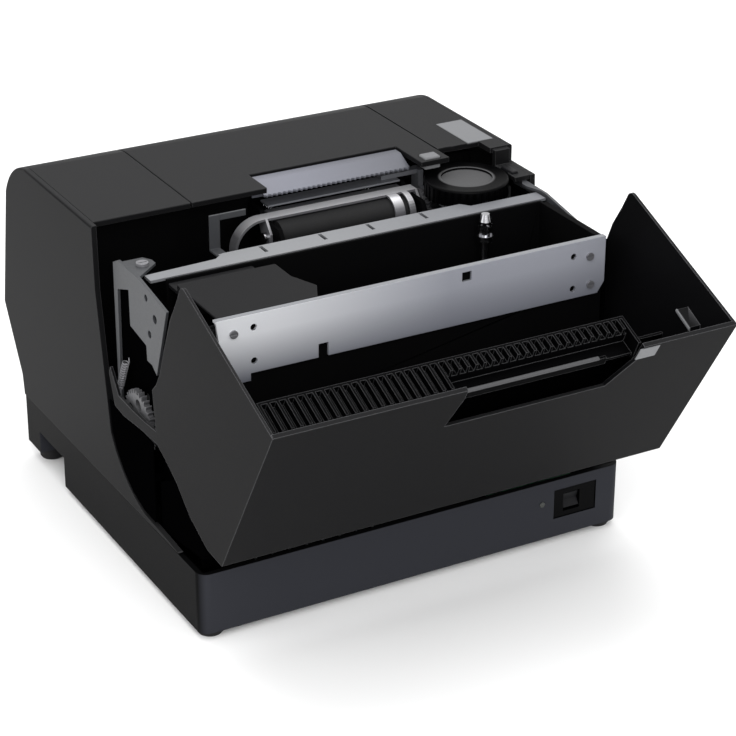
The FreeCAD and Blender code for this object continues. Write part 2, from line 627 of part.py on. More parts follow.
def make_front_plate():
    x0, x1 = PLATE_X
    z0, z1 = PLATE_Z
    sheet = slab_y(((x0, z1), (x0 + 4.0, z0 + 1.0), (x0 + 6.0, z0), (x1 - 4.0, z0), (x1, z0 + 6.0), (x1, z1)),
                   PLATE_Y, PLATE_Y + SHEET)
    lip = box(x0, x1, PLATE_Y, PLATE_Y + 3.2, z1 - SHEET, z1)
    foot = box(x0 + 6.0, x0 + 18.0, PLATE_Y, PLATE_Y + SHEET, z0 - 4.0, z0 + 2.0)
    plate = join([sheet, lip, foot])
    holes = []
    for x, z in PLATE_HOLES:
        holes.append(rod(Y_AXIS, 1.7, (x, PLATE_Y - 1, z), 4.0))
    for x, z in PLATE_SCREWS:
        holes.append(rod(Y_AXIS, 1.6, (x, PLATE_Y - 1, z), 4.0))
    holes.append(box(-53.6, -48.1, PLATE_Y - 1, PLATE_Y + 4, z0 - 1, 144.5))
    holes.append(box(27.5, 33.0, PLATE_Y - 1, PLATE_Y + 4, 160.5, 165.5))
    return plate.cut(holes)


def make_plate_screws():
    screws = []
    for x, z in PLATE_SCREWS:
        head = rod(Y_AXIS, 2.1, (x, PLATE_Y - 1.1, z), 1.1)
        head = head.cut(box(x - 1.6, x + 1.6, PLATE_Y - 2, PLATE_Y - 0.6, z - 0.3, z + 0.3))
        screws.append(head.fuse(rod(Y_AXIS, 1.5, (x, PLATE_Y, z), 2.5)).removeSplitter())
    x = -111.0
    head = rod(Z_AXIS, 3.2, (x, 3.0, FRAME_TOP_Z), 1.6)
    head = head.cut(box(x - 2.4, x + 2.4, 2.6, 3.4, FRAME_TOP_Z + 0.8, FRAME_TOP_Z + 2))
    screws.append(head.fuse(rod(Z_AXIS, 1.5, (x, 3.0, FRAME_TOP_Z - 3.0), 3.0)).removeSplitter())
    return group(screws)


TRAY_X = (-106.5, 113.0)
TRAY_FLOOR_Z = 104.0


def make_ribbon_tray():
    """Open-topped well for the ribbon cartridge, slotted in its floor for the print head."""
    x0, x1 = TRAY_X
    t = 1.6
    front = box(x0, x1, PLATE_Y + SHEET + 0.2, PLATE_Y + SHEET + 0.2 + t, TRAY_FLOOR_Z, 166.6)
    rear = box(x0, x1, -16.2, -14.6, TRAY_FLOOR_Z, 166.6)
    right = box(x1 - t, x1, PLATE_Y + SHEET + 0.2, -14.6, 128.0, 166.6)
    floor = box(x0, x1, PLATE_Y + SHEET + 0.2, -14.6, TRAY_FLOOR_Z, TRAY_FLOOR_Z + 1.6)
    rim = box(x1 - t, 115.2, -70.0, -18.0, 165.0, 166.6)
    tray = join([front, rear, right, floor, rim])
    slot = box(x0 + 2.0, x1 - 12.0, -56.0, -46.0, TRAY_FLOOR_Z - 1, TRAY_FLOOR_Z + 3)
    screw_ways = [rod(Y_AXIS, 1.6, (x, -76.0, z), 4.0) for x, z in PLATE_SCREWS]
    shaft_ways = [rod(Y_AXIS, 2.0 + RUN_FIT, (PULLEY_X[0], -17.0, PULLEY_Z), 4.0),
                  rod(Y_AXIS, 4.2, (PULLEY_X[1], -17.0, PULLEY_Z), 4.0)]
    pinch_way = box(x0 - 1, x1 + 1, -20.0, -6.0, TRAY_FLOOR_Z - 1, 109.6)
    return tray.cut([slot, pinch_way] + screw_ways + shaft_ways)


def make_home_shelf():
    """Dark plate that covers the print head's home position."""
    outline = ((-106.0, -72.2), (-52.0, -72.2), (-46.0, -60.0), (-52.0, -44.0), (-52.0, -27.0),
               (-106.0, -27.0))
    shelf = slab_z(outline, 166.7, FRAME_TOP_Z)
    side = box(-106.0, -52.0, -28.6, -27.0, 150.0, 168.0)
    bridge = box(-106.0, -60.0, -28.0, -17.0, 163.0, 165.0)
    return join([shelf, side, bridge])


def make_rear_rail():
    outline = ((-114.0, -13.5), (117.0, -13.5), (117.0, -4.0), (76.0, -4.0), (72.0, 1.0), (-68.0, 1.0),
               (-74.0, -4.0), (-114.0, -6.0))
    rail = slab_z(outline, FRAME_TOP_Z - SHEET - 1.6, FRAME_TOP_Z - 1.6)
    flange = box(-105.0, 114.5, -13.5, -12.0, 150.0, FRAME_TOP_Z - 1.8)
    tabs = []
    for x in (-70.0, 60.0):
        tabs.append(box(x, x + 12.0, -0.5, 1.0, 154.0, FRAME_TOP_Z - 1.8))
    rail = join([rail, flange] + tabs)
    slots = [box(x, x + 2.0, -8.0, 0.0, 160.0, 170.0) for x in (-48.0, -14.0, 14.0, 46.0)]
    return rail.cut(slots)


def make_platen_bar():
    bar = box(-80.0, 108.0, -62.0, -24.0, 90.0, SLIP_Z)
    legs = [box(x, x + 6.0, -56.0, -30.0, 49.0, 91.0) for x in (-74.0, 96.0)]
    return join([bar] + legs)


def make_guide_shafts():
    end = INNER_WALL_X[1]
    return group([rod_x(yz, GUIDE_SHAFT_R, -end, end) for yz in GUIDE_SHAFTS])


def belt_ring(radius_offset, y0, y1):
    """Racetrack prism round both pulleys, at a distance from the pulley rims."""
    r = PULLEY_R + radius_offset
    xa, xb = PULLEY_X
    ends = [rod(Y_AXIS, r, (x, y0, PULLEY_Z), y1 - y0) for x in (xa, xb)]
    return join(ends + [box(xa, xb, y0, y1, PULLEY_Z - r, PULLEY_Z + r)])


def make_carriage_belt():
    y0, y1 = BELT_Y
    return belt_ring(RUN_FIT + BELT_T, y0, y1).cut(belt_ring(RUN_FIT, y0 - 1, y1 + 1))


def make_carriage():
    x0, x1 = CARRIAGE_X
    body = box(x0, x1, -67.0, -36.0, 109.0, 123.0)
    tab = box(-86.0, -74.0, -37.0, -28.6, 118.6, 127.0)
    shell = join([body, tab])
    tools = [rod_x(yz, GUIDE_SHAFT_R + RUN_FIT, x0 - 1, x1 + 1) for yz in GUIDE_SHAFTS]
    tools.append(box(-90.0, -70.0, BELT_Y[0] - 0.3, BELT_Y[1] + 0.3, 121.7, 123.6))
    tools.append(box(-93.0, -67.0, -54.6, -47.4, 100.0, 130.0))
    return shell.cut(tools)


def make_impact_head():
    nose = box(-86.0, -74.0, -54.0, -48.0, 99.2, 124.0)
    body = box(-95.0, -65.0, -64.0, -38.0, 123.2, 127.0)
    fins = []
    for i in range(7):
        y = -64.0 + i * 4.0
        fins.append(box(-95.0, -65.0, y, y + 1.8, 126.5, 148.0))
    core = rod(Z_AXIS, 10.0, (-80.0, -51.0, 126.0), 24.0)
    return join([nose, body, core] + fins)


def make_pulley(x, shaft_y):
    y0, y1 = BELT_Y
    wheel = rod(Y_AXIS, PULLEY_R, (x, y0 - 0.2, PULLEY_Z), y1 - y0 + 0.4)
    flanges = [rod(Y_AXIS, PULLEY_R + 2.4, (x, y, PULLEY_Z), 0.8) for y in (y0 - 1.0, y1 + 0.2)]
    shaft = rod(Y_AXIS, 2.0, (x, shaft_y[0], PULLEY_Z), shaft_y[1] - shaft_y[0])
    mark = [rod(Y_AXIS, 0.8, (x + 4.0, y0 - 2.0, PULLEY_Z), 12.0)]
    return join([wheel] + flanges + [shaft]).cut(mark)


def make_carriage_motor():
    x = PULLEY_X[1]
    can = rod(Y_AXIS, 10.0, (x, -14.2, PULLEY_Z), 26.0)
    nose = rod(Y_AXIS, 4.0, (x, -14.3, PULLEY_Z), 0.4)
    tail = rod(Y_AXIS, 3.0, (x, 11.0, PULLEY_Z), 3.0)
    return join([can, nose, tail]).cut(rod(Y_AXIS, 2.0 + RUN_FIT, (x, -15.0, PULLEY_Z), 10.0))


def make_ribbon_spindle():
    x, y = SPINDLE_XY
    post = rod(Z_AXIS, 2.6, (x, y, 130.2), 34.0)
    head = Part.makeCone(3.4, 2.2, 4.0, V(x, y, 165.0))
    collar = rod(Z_AXIS, 4.2, (x, y, 154.0), 3.0)
    neck = rod(Z_AXIS, 3.4, (x, y, 164.0), 1.0)
    fins = [box(x - 4.0, x + 4.0, y - 0.6, y + 0.6, 157.0, 163.0),
            box(x - 0.6, x + 0.6, y - 4.0, y + 4.0, 157.0, 163.0)]
    return join([post, head, collar, neck] + fins)


def make_ribbon_motor():
    x, y = SPINDLE_XY
    block = box(x - 9.0, x + 9.0, -28.2, -16.3, 110.0, 136.0)
    return block.cut(rod(Z_AXIS, 2.6 + RUN_FIT, (x, y, 130.0), 20.0))


def make_feed_shaft():
    shaft = rod_x(FEED_YZ, 3.0, -124.0, 117.4)
    return shaft.cut(box(-125.0, -121.0, FEED_YZ[0] - 4, FEED_YZ[0] + 4, FEED_YZ[1] + 2.0, FEED_YZ[1] + 4))


FEED_ROLLERS = ((-78.0, -60.0), (-30.0, -12.0), (30.0, 48.0), (80.0, 98.0))


def make_feed_rollers():
    rollers = []
    for a, b in FEED_ROLLERS:
        rollers.append(rod_x(FEED_YZ, FEED_ROLLER_R, a, b).cut(rod_x(FEED_YZ, 3.0, a - 1, b + 1)))
    return group(rollers)


def make_slip_feed_gear():
    gear = gear_x(FEED_YZ, FEED_GEAR_TEETH, -123.6, -120.4, 3.0, SLIP_MESH_ANGLE)
    windows = []
    for i in range(5):
        angle = 2 * math.pi * i / 5 + 0.4
        centre = (FEED_YZ[0] + 9.4 * math.cos(angle), FEED_YZ[1] + 9.4 * math.sin(angle))
        windows.append(rod_x(centre, 3.2, -125.0, -119.0))
    return gear.cut(windows)


def make_slip_motor_pinion():
    half_step = math.pi / MOTOR_PINION_TEETH
    phase = SLIP_MESH_ANGLE + math.pi + half_step
    pinion = gear_x(SLIP_PINION_YZ, MOTOR_PINION_TEETH, -124.0, -120.0, 2.0, phase)
    return pinion.fuse(rod_x(SLIP_PINION_YZ, 2.0, -124.0, -102.0)).removeSplitter()


def make_slip_motor():
    can = rod_x(SLIP_PINION_YZ, 15.0, -114.5, -92.0)
    flange = box(-115.5, -114.0, SLIP_PINION_YZ[0] - 16.0, SLIP_PINION_YZ[0] + 15.5,
                 SLIP_PINION_YZ[1] - 21.0, SLIP_PINION_YZ[1] + 12.0)
    return join([can, flange]).cut(rod_x(SLIP_PINION_YZ, 2.0 + RUN_FIT, -116.0, -101.8))


def make_pinch_rollers():
    shaft = rod_x(PINCH_YZ, 2.0, -117.4, 117.4)
    rollers = [rod_x(PINCH_YZ, PINCH_ROLLER_R, a + 2, b - 2) for a, b in FEED_ROLLERS]
    return join([shaft] + rollers)


# ---- receipt station ---------------------------------------------------------------------
BUCKET_X = (PAPER_X[0] - 4.0, PAPER_X[1] + 4.0)
BUCKET_Y = (74.0, 140.0)
CHEEK_T = 2.5
CHEEK_X = (BUCKET_X[0] - 0.5, BUCKET_X[1] - 2.0)
BULKHEAD_Y = 66.0           # black wall behind the open front of the casing
MOUNT_X = 73.0              # plate that carries the receipt motor
RECEIPT_FEET = ((BUCKET_X[0] + 8.0, 68.0, 101.0), (BUCKET_X[1] - 8.0, 68.0, 101.0),
                (BUCKET_X[0] + 8.0, 117.0, 67.0), (BUCKET_X[1] - 8.0, 117.0, 67.0))


def make_receipt_frame():
    """Black moulding: paper bucket with the two cheeks that hold the receipt mechanism."""
    x0, x1 = BUCKET_X
    y0, y1 = BUCKET_Y
    outer = box(x0, x1, y0, y1, 66.0, 164.0)
    hollow = rod_x(((y0 + y1) / 2, 100.0), 30.6, x0 + 2.5, x1 - 2.5).fuse(
        box(x0 + 2.5, x1 - 2.5, y0 + 2.4, y1 - 2.4, 100.0, 170.0))
    bucket = outer.cut(hollow)
    cheeks = []
    for x in CHEEK_X:
        cheeks.append(slab_x(((26.0, 112.0), (60.0, 100.0), (y0 + 2.0, 100.0), (y0 + 2.0, 163.2),
                              (51.5, 163.2), (49.5, 159.5), (30.0, 159.5), (26.0, 154.0)), x, x + CHEEK_T))
    right = CHEEK_X[1] + CHEEK_T
    ties = [box(CHEEK_X[0], right, 62.0, y0 + 2.0, 100.0, 103.0),
            box(CHEEK_X[0], right, y0 - 1.0, y0 + 2.0, 100.0, 150.0)]
    y, z = RECEIPT_PINION_YZ
    mount = [box(MOUNT_X, MOUNT_X + 1.6, y - 14.0, y + 14.0, z - 16.0, z + 13.5),
             box(CHEEK_X[1], MOUNT_X + 1.6, y - 14.0, y + 14.0, z - 16.0, z - 14.2)]
    feet = [rod(Z_AXIS, 4.5, (a, b, BASE_BOTTOM_Z + SHELL), top - BASE_BOTTOM_Z - SHELL)
            for a, b, top in RECEIPT_FEET[:2]]
    feet += [rod(Z_AXIS, 4.5, (a, b, STEP_Z + SHELL), top - STEP_Z - SHELL) for a, b, top in RECEIPT_FEET[2:]]
    bulkhead = box(-119.0, CHEEK_X[0] + 1.0, BULKHEAD_Y, BULKHEAD_Y + 2.0, 60.0, 167.6)
    bulkhead_right = box(100.0, 118.0, BULKHEAD_Y, BULKHEAD_Y + 2.0, 60.0, 167.6)
    bulkhead_tie = box(BUCKET_X[1] - 3.0, 118.0, BULKHEAD_Y, BULKHEAD_Y + 2.0, 158.4, 167.6)
    bulkhead_low = box(BUCKET_X[1] - 3.0, 118.0, BULKHEAD_Y, BULKHEAD_Y + 2.0, 60.0, 118.0)
    bulkheads = [bulkhead, bulkhead_right, bulkhead_tie, bulkhead_low]
    frame = join([bucket] + bulkheads + cheeks + ties + mount + feet)
    holes = [rod_x(PLATEN_YZ, 3.0 + RUN_FIT, -80.0, 70.0),
             rod_x(RECEIPT_PINION_YZ, 4.0, MOUNT_X - 0.5, 80.0)]
    return frame.cut(holes)


def make_receipt_platen():
    roller = rod_x(PLATEN_YZ, PLATEN_R, PAPER_X[0], PAPER_X[1])
    return roller.cut(rod_x(PLATEN_YZ, 3.0, -80.0, 80.0))


def make_platen_shaft():
    return rod_x(PLATEN_YZ, 3.0, CHEEK_X[0] - 4.0, 72.6)


def make_platen_gear():
    return gear_x(PLATEN_YZ, PLATEN_GEAR_TEETH, 69.8, 72.4, 3.0, RECEIPT_MESH_ANGLE)


def make_receipt_motor_pinion():
    half_step = math.pi / MOTOR_PINION_TEETH
    phase = RECEIPT_MESH_ANGLE + math.pi + half_step
    pinion = gear_x(RECEIPT_PINION_YZ, MOTOR_PINION_TEETH, 69.6, 72.6, 2.0, phase)
    return pinion.fuse(rod_x(RECEIPT_PINION_YZ, 2.0, 69.6, 86.0)).removeSplitter()


def make_receipt_motor():
    can = rod_x(RECEIPT_PINION_YZ, 12.5, MOUNT_X + 1.6, 98.0)
    return can.cut(rod_x(RECEIPT_PINION_YZ, 2.0 + RUN_FIT, 70.0, 86.2))


def make_thermal_head():
    y = PLATEN_YZ[0] + PLATEN_R + 0.4
    ceramic = box(PAPER_X[0], PAPER_X[1], y, y + 1.0, 146.0, 158.0)
    sink = box(PAPER_X[0] - 1.0, PAPER_X[1], y + 1.0, y + 5.0, 140.0, 162.0)
    fins = [box(PAPER_X[0] + 6 + i * 12.0, PAPER_X[0] + 8 + i * 12.0, y + 4.9, y + 10.5, 140.0, 150.0)
            for i in range(6)]
    return join([ceramic, sink] + fins)


def make_head_springs():
    springs = []
    y = PLATEN_YZ[0] + PLATEN_R + 5.4
    z = 156.0
    for x in (PAPER_X[0] + 10.0, PAPER_X[1] - 10.0):
        coil = Part.makeHelix(2.6, BUCKET_Y[0] - 1.5 - y, 2.6)
        section = Part.Wire([Part.Circle(V(2.6, 0, 0), V(0, 1, 0), 0.45).toShape()])
        spring = Part.Wire(coil).makePipeShell([section], True, True)
        spring.rotate(V(0, 0, 0), V(1, 0, 0), -90)
        spring.translate(V(x, y + 0.5, z))
        springs.append(spring)
    return group(springs)


CUTTER_TOP = (54.5, 179.2)   # y, z of the sloped cutter plate's rear edge
CUTTER_FOOT = (44.7, 174.3)


def make_cutter_plate():
    """Fixed blade and cutter cover in bright sheet, its lower front edge toothed."""
    x0, x1 = NOTCH_X[0] + 0.8, NOTCH_X[1] - 0.8
    t = 1.2
    (y1, z1), (y0, z0) = CUTTER_TOP, CUTTER_FOOT
    slope = slab_x(((y1, z1), (y0, z0), (y0, z0 - t), (y1 + 0.5, z1 - t - 0.4)), x0, x1)
    rear = slab_x(((y1, z1), (y1 + 5.5, z1), (y1 + 5.5, 167.6), (y1 + 4.3, 167.6), (y1 + 4.3, z1 - t),
                   (y1, z1 - t)), x0, x1)
    count = 30
    pitch = (x1 - x0) / count
    teeth = []
    for i in range(count):
        x = x0 + i * pitch
        tooth = ((x + 0.1 * pitch, y0 + 0.3), (x + 0.9 * pitch, y0 + 0.3), (x + 0.5 * pitch, y0 - 1.6))
        teeth.append(slab_z(tooth, z0 - t + 0.05, z0 - 0.05))
    return join([slope, rear] + teeth)


BLADE_Z = (163.6, 164.6)
RACK_X = (77.5, 80.4)
RACK_Z = (154.4, 157.6)
RACK_Y = (12.0, 62.0)


def make_cutter_blade():
    """Moving blade with the arm and rack that the cutter wheel drives."""
    z0, z1 = BLADE_Z
    blade = box(PAPER_X[0] + 1.0, CHEEK_X[1] - 0.5, 52.0, 61.5, z0, z1)
    neck = box(CHEEK_X[1] - 10.0, RACK_X[1], 56.0, 61.5, z0 + 0.9, z1 + 2.4)
    riser = box(RACK_X[0], RACK_X[1], 54.0, RACK_Y[1], RACK_Z[0], z1 + 2.4)
    bar = box(RACK_X[0], RACK_X[1], RACK_Y[0], RACK_Y[1], RACK_Z[0], RACK_Z[1])
    pitch_x = WHEEL_XY[0] - WHEEL_PINION_TEETH * GEAR_MODULE / 2 - 0.1
    pitch = math.pi * GEAR_MODULE
    tip = pitch_x + 0.85 * GEAR_MODULE
    teeth = []
    for i in range(-3, 6):
        y = WHEEL_XY[1] + i * pitch
        teeth.append(slab_z(((RACK_X[1] - 0.3, y - 0.27 * pitch), (tip, y - 0.09 * pitch),
                             (tip, y + 0.09 * pitch), (RACK_X[1] - 0.3, y + 0.27 * pitch)),
                            RACK_Z[0], RACK_Z[1]))
    return join([blade, neck, riser, bar] + teeth)


def make_cutter_wheel():
    x, y = WHEEL_XY
    drum = rod(Z_AXIS, WHEEL_R, (x, y, 162.3), 9.2)
    top = [e for e in drum.Edges if e.CenterOfMass.z > 171]
    drum = drum.makeFillet(1.2, top)
    dish = rod(Z_AXIS, 14.0, (x, y, 170.3), 3.0)
    drum = drum.cut(dish)
    grips = []
    for i in range(36):
        angle = 2 * math.pi * i / 36
        gx = x + (WHEEL_R + 0.4) * math.cos(angle)
        gy = y + (WHEEL_R + 0.4) * math.sin(angle)
        grips.append(rod(Z_AXIS, 0.9, (gx, gy, 162.0), 8.0))
    drum = drum.cut(grips)
    hub = rod(Z_AXIS, 4.0, (x, y, 150.0), 12.5)
    phase = math.pi + math.pi / WHEEL_PINION_TEETH
    points = [(x + a, y + b) for a, b in gear_outline(WHEEL_PINION_TEETH, phase)]
    pinion = slab_z(points, 153.8, 162.5)
    return join([drum, hub, pinion])


def make_wheel_bracket():
    x, y = WHEEL_XY
    arm = box(x - 9.0, 112.0, 19.5, y + 8.0, 149.8, 153.5)
    collar = rod(Z_AXIS, 7.0, (x, y, 149.8), 3.7)
    leg = box(106.0, 112.0, 20.0, y + 8.0, BASE_BOTTOM_Z + SHELL, 152.0)
    foot = box(98.0, 112.0, 20.0, y + 20.0, BASE_BOTTOM_Z + SHELL, BASE_BOTTOM_Z + SHELL + 3.0)
    return join([arm, collar, leg, foot]).cut(rod(Z_AXIS, 4.0 + RUN_FIT, (x, y, 149.0), 20.0))


BAIL_X = (CHEEK_X[0] - 1.8, CHEEK_X[1] + CHEEK_T + 0.4)
BAIL_T = 1.4
BAIL_Y = (1.5, 9.0)         # the bar's front and back edges, from the platen axis
HORN_R = 17.0
FINGER_X = (50.0, 56.0)     # finger that curls over the front of the platen


def make_paper_bail():
    """Bright strip bent into a bail over the platen, hinged on the platen shaft."""
    x0, x1 = BAIL_X
    y, z = PLATEN_YZ
    top = z + 10.0
    front, back = BAIL_Y
    centre_x = x0 - 1.0
    bar = box(centre_x, x1 + BAIL_T, y + front, y + back, top - BAIL_T, top)
    side = ((y - 4.5, z - 4.5), (y + 4.5, z - 4.5), (y + back, top - 5.0), (y + back, top),
            (y + front, top), (y - 4.5, z + 3.0))
    arms = [slab_x(side, x0, x0 + BAIL_T), slab_x(side, x1, x1 + BAIL_T)]
    horn_at = (centre_x, y + front, top - HORN_R)
    ring = rod(Y_AXIS, HORN_R, horn_at, back - front).cut(
        rod(Y_AXIS, HORN_R - BAIL_T, (centre_x, y, top - HORN_R), back + 2.0))
    horn = ring.common(box(centre_x - 30.0, centre_x, y, y + back + 1.0, top - HORN_R, top + 1.0))
    f0, f1 = FINGER_X
    curl = rod_x(PLATEN_YZ, 10.0, f0, f1).cut(rod_x(PLATEN_YZ, 8.8, f0 - 1, f1 + 1))
    curl = curl.common(box(f0, f1, y - 12.0, y + front + 1.0, z - 3.0, top))
    bail = join([bar, horn, curl] + arms)
    return bail.cut(rod_x(PLATEN_YZ, 3.0 + RUN_FIT, x0 - 1, x1 + 4))


# ---- electrics ---------------------------------------------------------------------------
def make_main_board():
    board = box(-104.0, 88.0, 46.5, 138.0, BOARD_Z, BOARD_Z + 1.6)
    holes = []
    for x in BOARD_POST_X:
        holes.append(rod(Z_AXIS, 1.6, (x, BOARD_POST_Y[1], BOARD_Z - 1), 4.0))
    for x, y, _ in RECEIPT_FEET:
        holes.append(rod(Z_AXIS, 5.2, (x, y, BOARD_Z - 1), 4.0))
    return board.cut(holes)


def make_board_components():
    top = BOARD_Z + 1.6
    parts = [box(-84.0, -60.0, 70.0, 94.0, top, top + 2.4), box(-50.0, -36.0, 66.0, 86.0, top, top + 2.0),
             box(-90.0, -76.0, 108.0, 120.0, top, top + 3.0)]
    for i in range(5):
        parts.append(rod(Z_AXIS, 4.0, (72.0 + (i % 2) * 10.0, 54.0 + i * 9.0, top), 11.0))
    for i in range(4):
        parts.append(box(-98.0 + i * 16.0, -88.0 + i * 16.0, 50.0, 56.0, top, top + 8.0))
    return group(parts)


def make_interface_connectors():
    top = BOARD_Z + 1.6
    shells = []
    for a, b in CONNECTORS:
        body = box(a, b, 128.0, 144.5, top, CONNECTOR_Z[1] - 1.0)
        mouth = box(a + 2.0, b - 2.0, 136.0, 146.0, top + 3.0, CONNECTOR_Z[1] - 3.0)
        shells.append(body.cut(mouth))
    return group(shells)


def make_power_inlet():
    top = BOARD_Z + 1.6
    a, b = INLET_X
    body = box(a, b, 126.0, 144.5, top, CONNECTOR_Z[1] - 1.0)
    middle = (a + b) / 2
    socket = rod(Y_AXIS, 5.6, (middle, 132.0, top + 7.4), 14.0)
    pins = [rod(Y_AXIS, 0.8, (middle + d, 131.0, top + 7.4), 11.0) for d in (-2.6, 0.0, 2.6)]
    return join([body.cut(socket)] + pins)


def make_power_board():
    z = BASE_BOTTOM_Z + 11.0
    board = box(64.0, 117.0, -74.0, -14.0, z, z + 1.6)
    coil = box(72.0, 92.0, -50.0, -34.0, z + 1.6, z + 14.0)
    cap = rod(Z_AXIS, 6.0, (104.0, -40.0, z + 1.6), 16.0)
    return join([board, coil, cap])


def make_status_light():
    tip = rod(Y_AXIS, 1.6 - 0.05, (75.0, BASE_FRONT_Y - 0.3, 25.0), 5.0)
    return tip.fuse(rod(Y_AXIS, 2.4, (75.0, BASE_FRONT_Y + SHELL, 25.0), 3.0)).removeSplitter()


# ---- write every node --------------------------------------------------------------------
save("base_pan", make_base_pan())
save("rubber_feet", make_feet())
save("switch_bezel", make_switch_bezel())
save("power_rocker", make_power_rocker())
save("status_light", make_status_light())
save("left_side_panel", make_side_panel(-1))
save("right_side_panel", make_side_panel(1))
save("left_top_cover", make_left_top_cover())
save("right_top_cover", make_right_top_cover())
save("badge_plate", make_badge_plate())
save("feed_button", make_feed_button())
save("rear_cover", make_rear_cover())
save("screws", group([make_case_screws(), make_plate_screws()]))
save("receipt_cover", make_receipt_cover())
save("hinge_pins", group([make_lid_pins(), make_cover_pins()]))
save("lid_brackets", make_lid_brackets())
save("release_button", make_release_button())
save("front_cover", make_front_cover())
save("slip_guide", make_slip_guide())
save("slip_frame", make_slip_frame())
save("gear_guard", make_gear_guard())
save("left_chassis_plate", make_side_plate(-1))
save("right_chassis_plate", make_side_plate(1))
save("front_plate", make_front_plate())
save("ribbon_tray", make_ribbon_tray())
save("home_shelf", make_home_shelf())
save("rear_rail", make_rear_rail())
save("platen_bar", make_platen_bar())
save("guide_shafts", make_guide_shafts())
save("carriage_belt", make_carriage_belt())
save("print_head_carriage", make_carriage())
save("impact_head", make_impact_head())
save("carriage_drive_pulley", make_pulley(PULLEY_X[1], (BELT_Y[1] + 0.2, -6.0)))
save("carriage_idler_pulley", make_pulley(PULLEY_X[0], (BELT_Y[1] + 0.2, -15.4)))
save("carriage_motor", make_carriage_motor())
save("ribbon_spindle", make_ribbon_spindle())
save("ribbon_motor", make_ribbon_motor())
save("slip_feed_shaft", make_feed_shaft())
save("slip_feed_rollers", make_feed_rollers())
save("slip_feed_gear", make_slip_feed_gear())
save("slip_motor_pinion", make_slip_motor_pinion())
save("feed_motors", group([make_slip_motor(), make_receipt_motor()]))
save("slip_pinch_rollers", make_pinch_rollers())
save("receipt_frame", make_receipt_frame())
save("receipt_platen", make_receipt_platen())
save("platen_shaft", make_platen_shaft())
save("platen_gear", make_platen_gear())
save("receipt_motor_pinion", make_receipt_motor_pinion())
save("thermal_head", make_thermal_head())
save("head_springs", make_head_springs())
save("cutter_plate", make_cutter_plate())
save("cutter_blade", make_cutter_blade())
save("cutter_wheel", make_cutter_wheel())
save("wheel_bracket", make_wheel_bracket())
save("paper_bail", make_paper_bail())
save("main_board", make_main_board())
save("board_components", make_board_components())
save("interface_connectors", make_interface_connectors())
save("power_inlet", make_power_inlet())
save("power_board", make_power_board())
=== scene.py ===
"""Looks of the two-station receipt printer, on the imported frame. Metres, +Z up, +Y to the back."""

import json
import math

import bmesh
import bpy
from mathutils import Matrix, Vector


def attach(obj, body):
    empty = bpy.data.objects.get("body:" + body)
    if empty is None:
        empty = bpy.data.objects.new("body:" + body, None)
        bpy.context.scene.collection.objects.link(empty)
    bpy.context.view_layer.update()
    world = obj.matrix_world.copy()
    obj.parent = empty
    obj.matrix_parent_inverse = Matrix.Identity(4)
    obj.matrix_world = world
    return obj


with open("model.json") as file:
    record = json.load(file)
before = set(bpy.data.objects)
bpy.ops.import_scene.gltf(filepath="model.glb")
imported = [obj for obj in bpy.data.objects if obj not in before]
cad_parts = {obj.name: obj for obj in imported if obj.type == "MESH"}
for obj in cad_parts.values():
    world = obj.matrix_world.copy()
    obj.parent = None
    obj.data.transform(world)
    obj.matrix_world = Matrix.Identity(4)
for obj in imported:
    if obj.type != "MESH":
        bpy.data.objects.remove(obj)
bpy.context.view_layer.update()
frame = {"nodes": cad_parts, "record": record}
NODES = frame["nodes"]
MM = 0.001

# ---- camera ------------------------------------------------------------------------------
CAMERA_AT = (-0.5396, -1.0021, 0.6368)
CAMERA_AZIMUTH = math.radians(-29.011)
CAMERA_ELEVATION = math.radians(25.784)
CAMERA_ROLL = math.radians(0.19)
CAMERA_LENS = 116.1
CAMERA_SENSOR = 36.0
CAMERA_REACH = 20.0


def make_camera():
    data = bpy.data.cameras.new("camera")
    data.lens = CAMERA_LENS
    data.sensor_width = CAMERA_SENSOR
    data.clip_end = CAMERA_REACH
    camera = bpy.data.objects.new("camera", data)
    bpy.context.scene.collection.objects.link(camera)
    flat = math.cos(CAMERA_ELEVATION)
    back = Vector((math.sin(CAMERA_AZIMUTH) * flat, -math.cos(CAMERA_AZIMUTH) * flat,
                   math.sin(CAMERA_ELEVATION)))
    right = Vector((0, 0, 1)).cross(back).normalized()
    up = back.cross(right)
    turn = Matrix((right, up, back)).transposed().to_4x4()
    roll = Matrix.Rotation(CAMERA_ROLL, 4, "Z")
    camera.matrix_world = Matrix.Translation(CAMERA_AT) @ turn @ roll
    bpy.context.scene.camera = camera


# ---- node graphs -------------------------------------------------------------------------
BEVEL_SAMPLES = 4


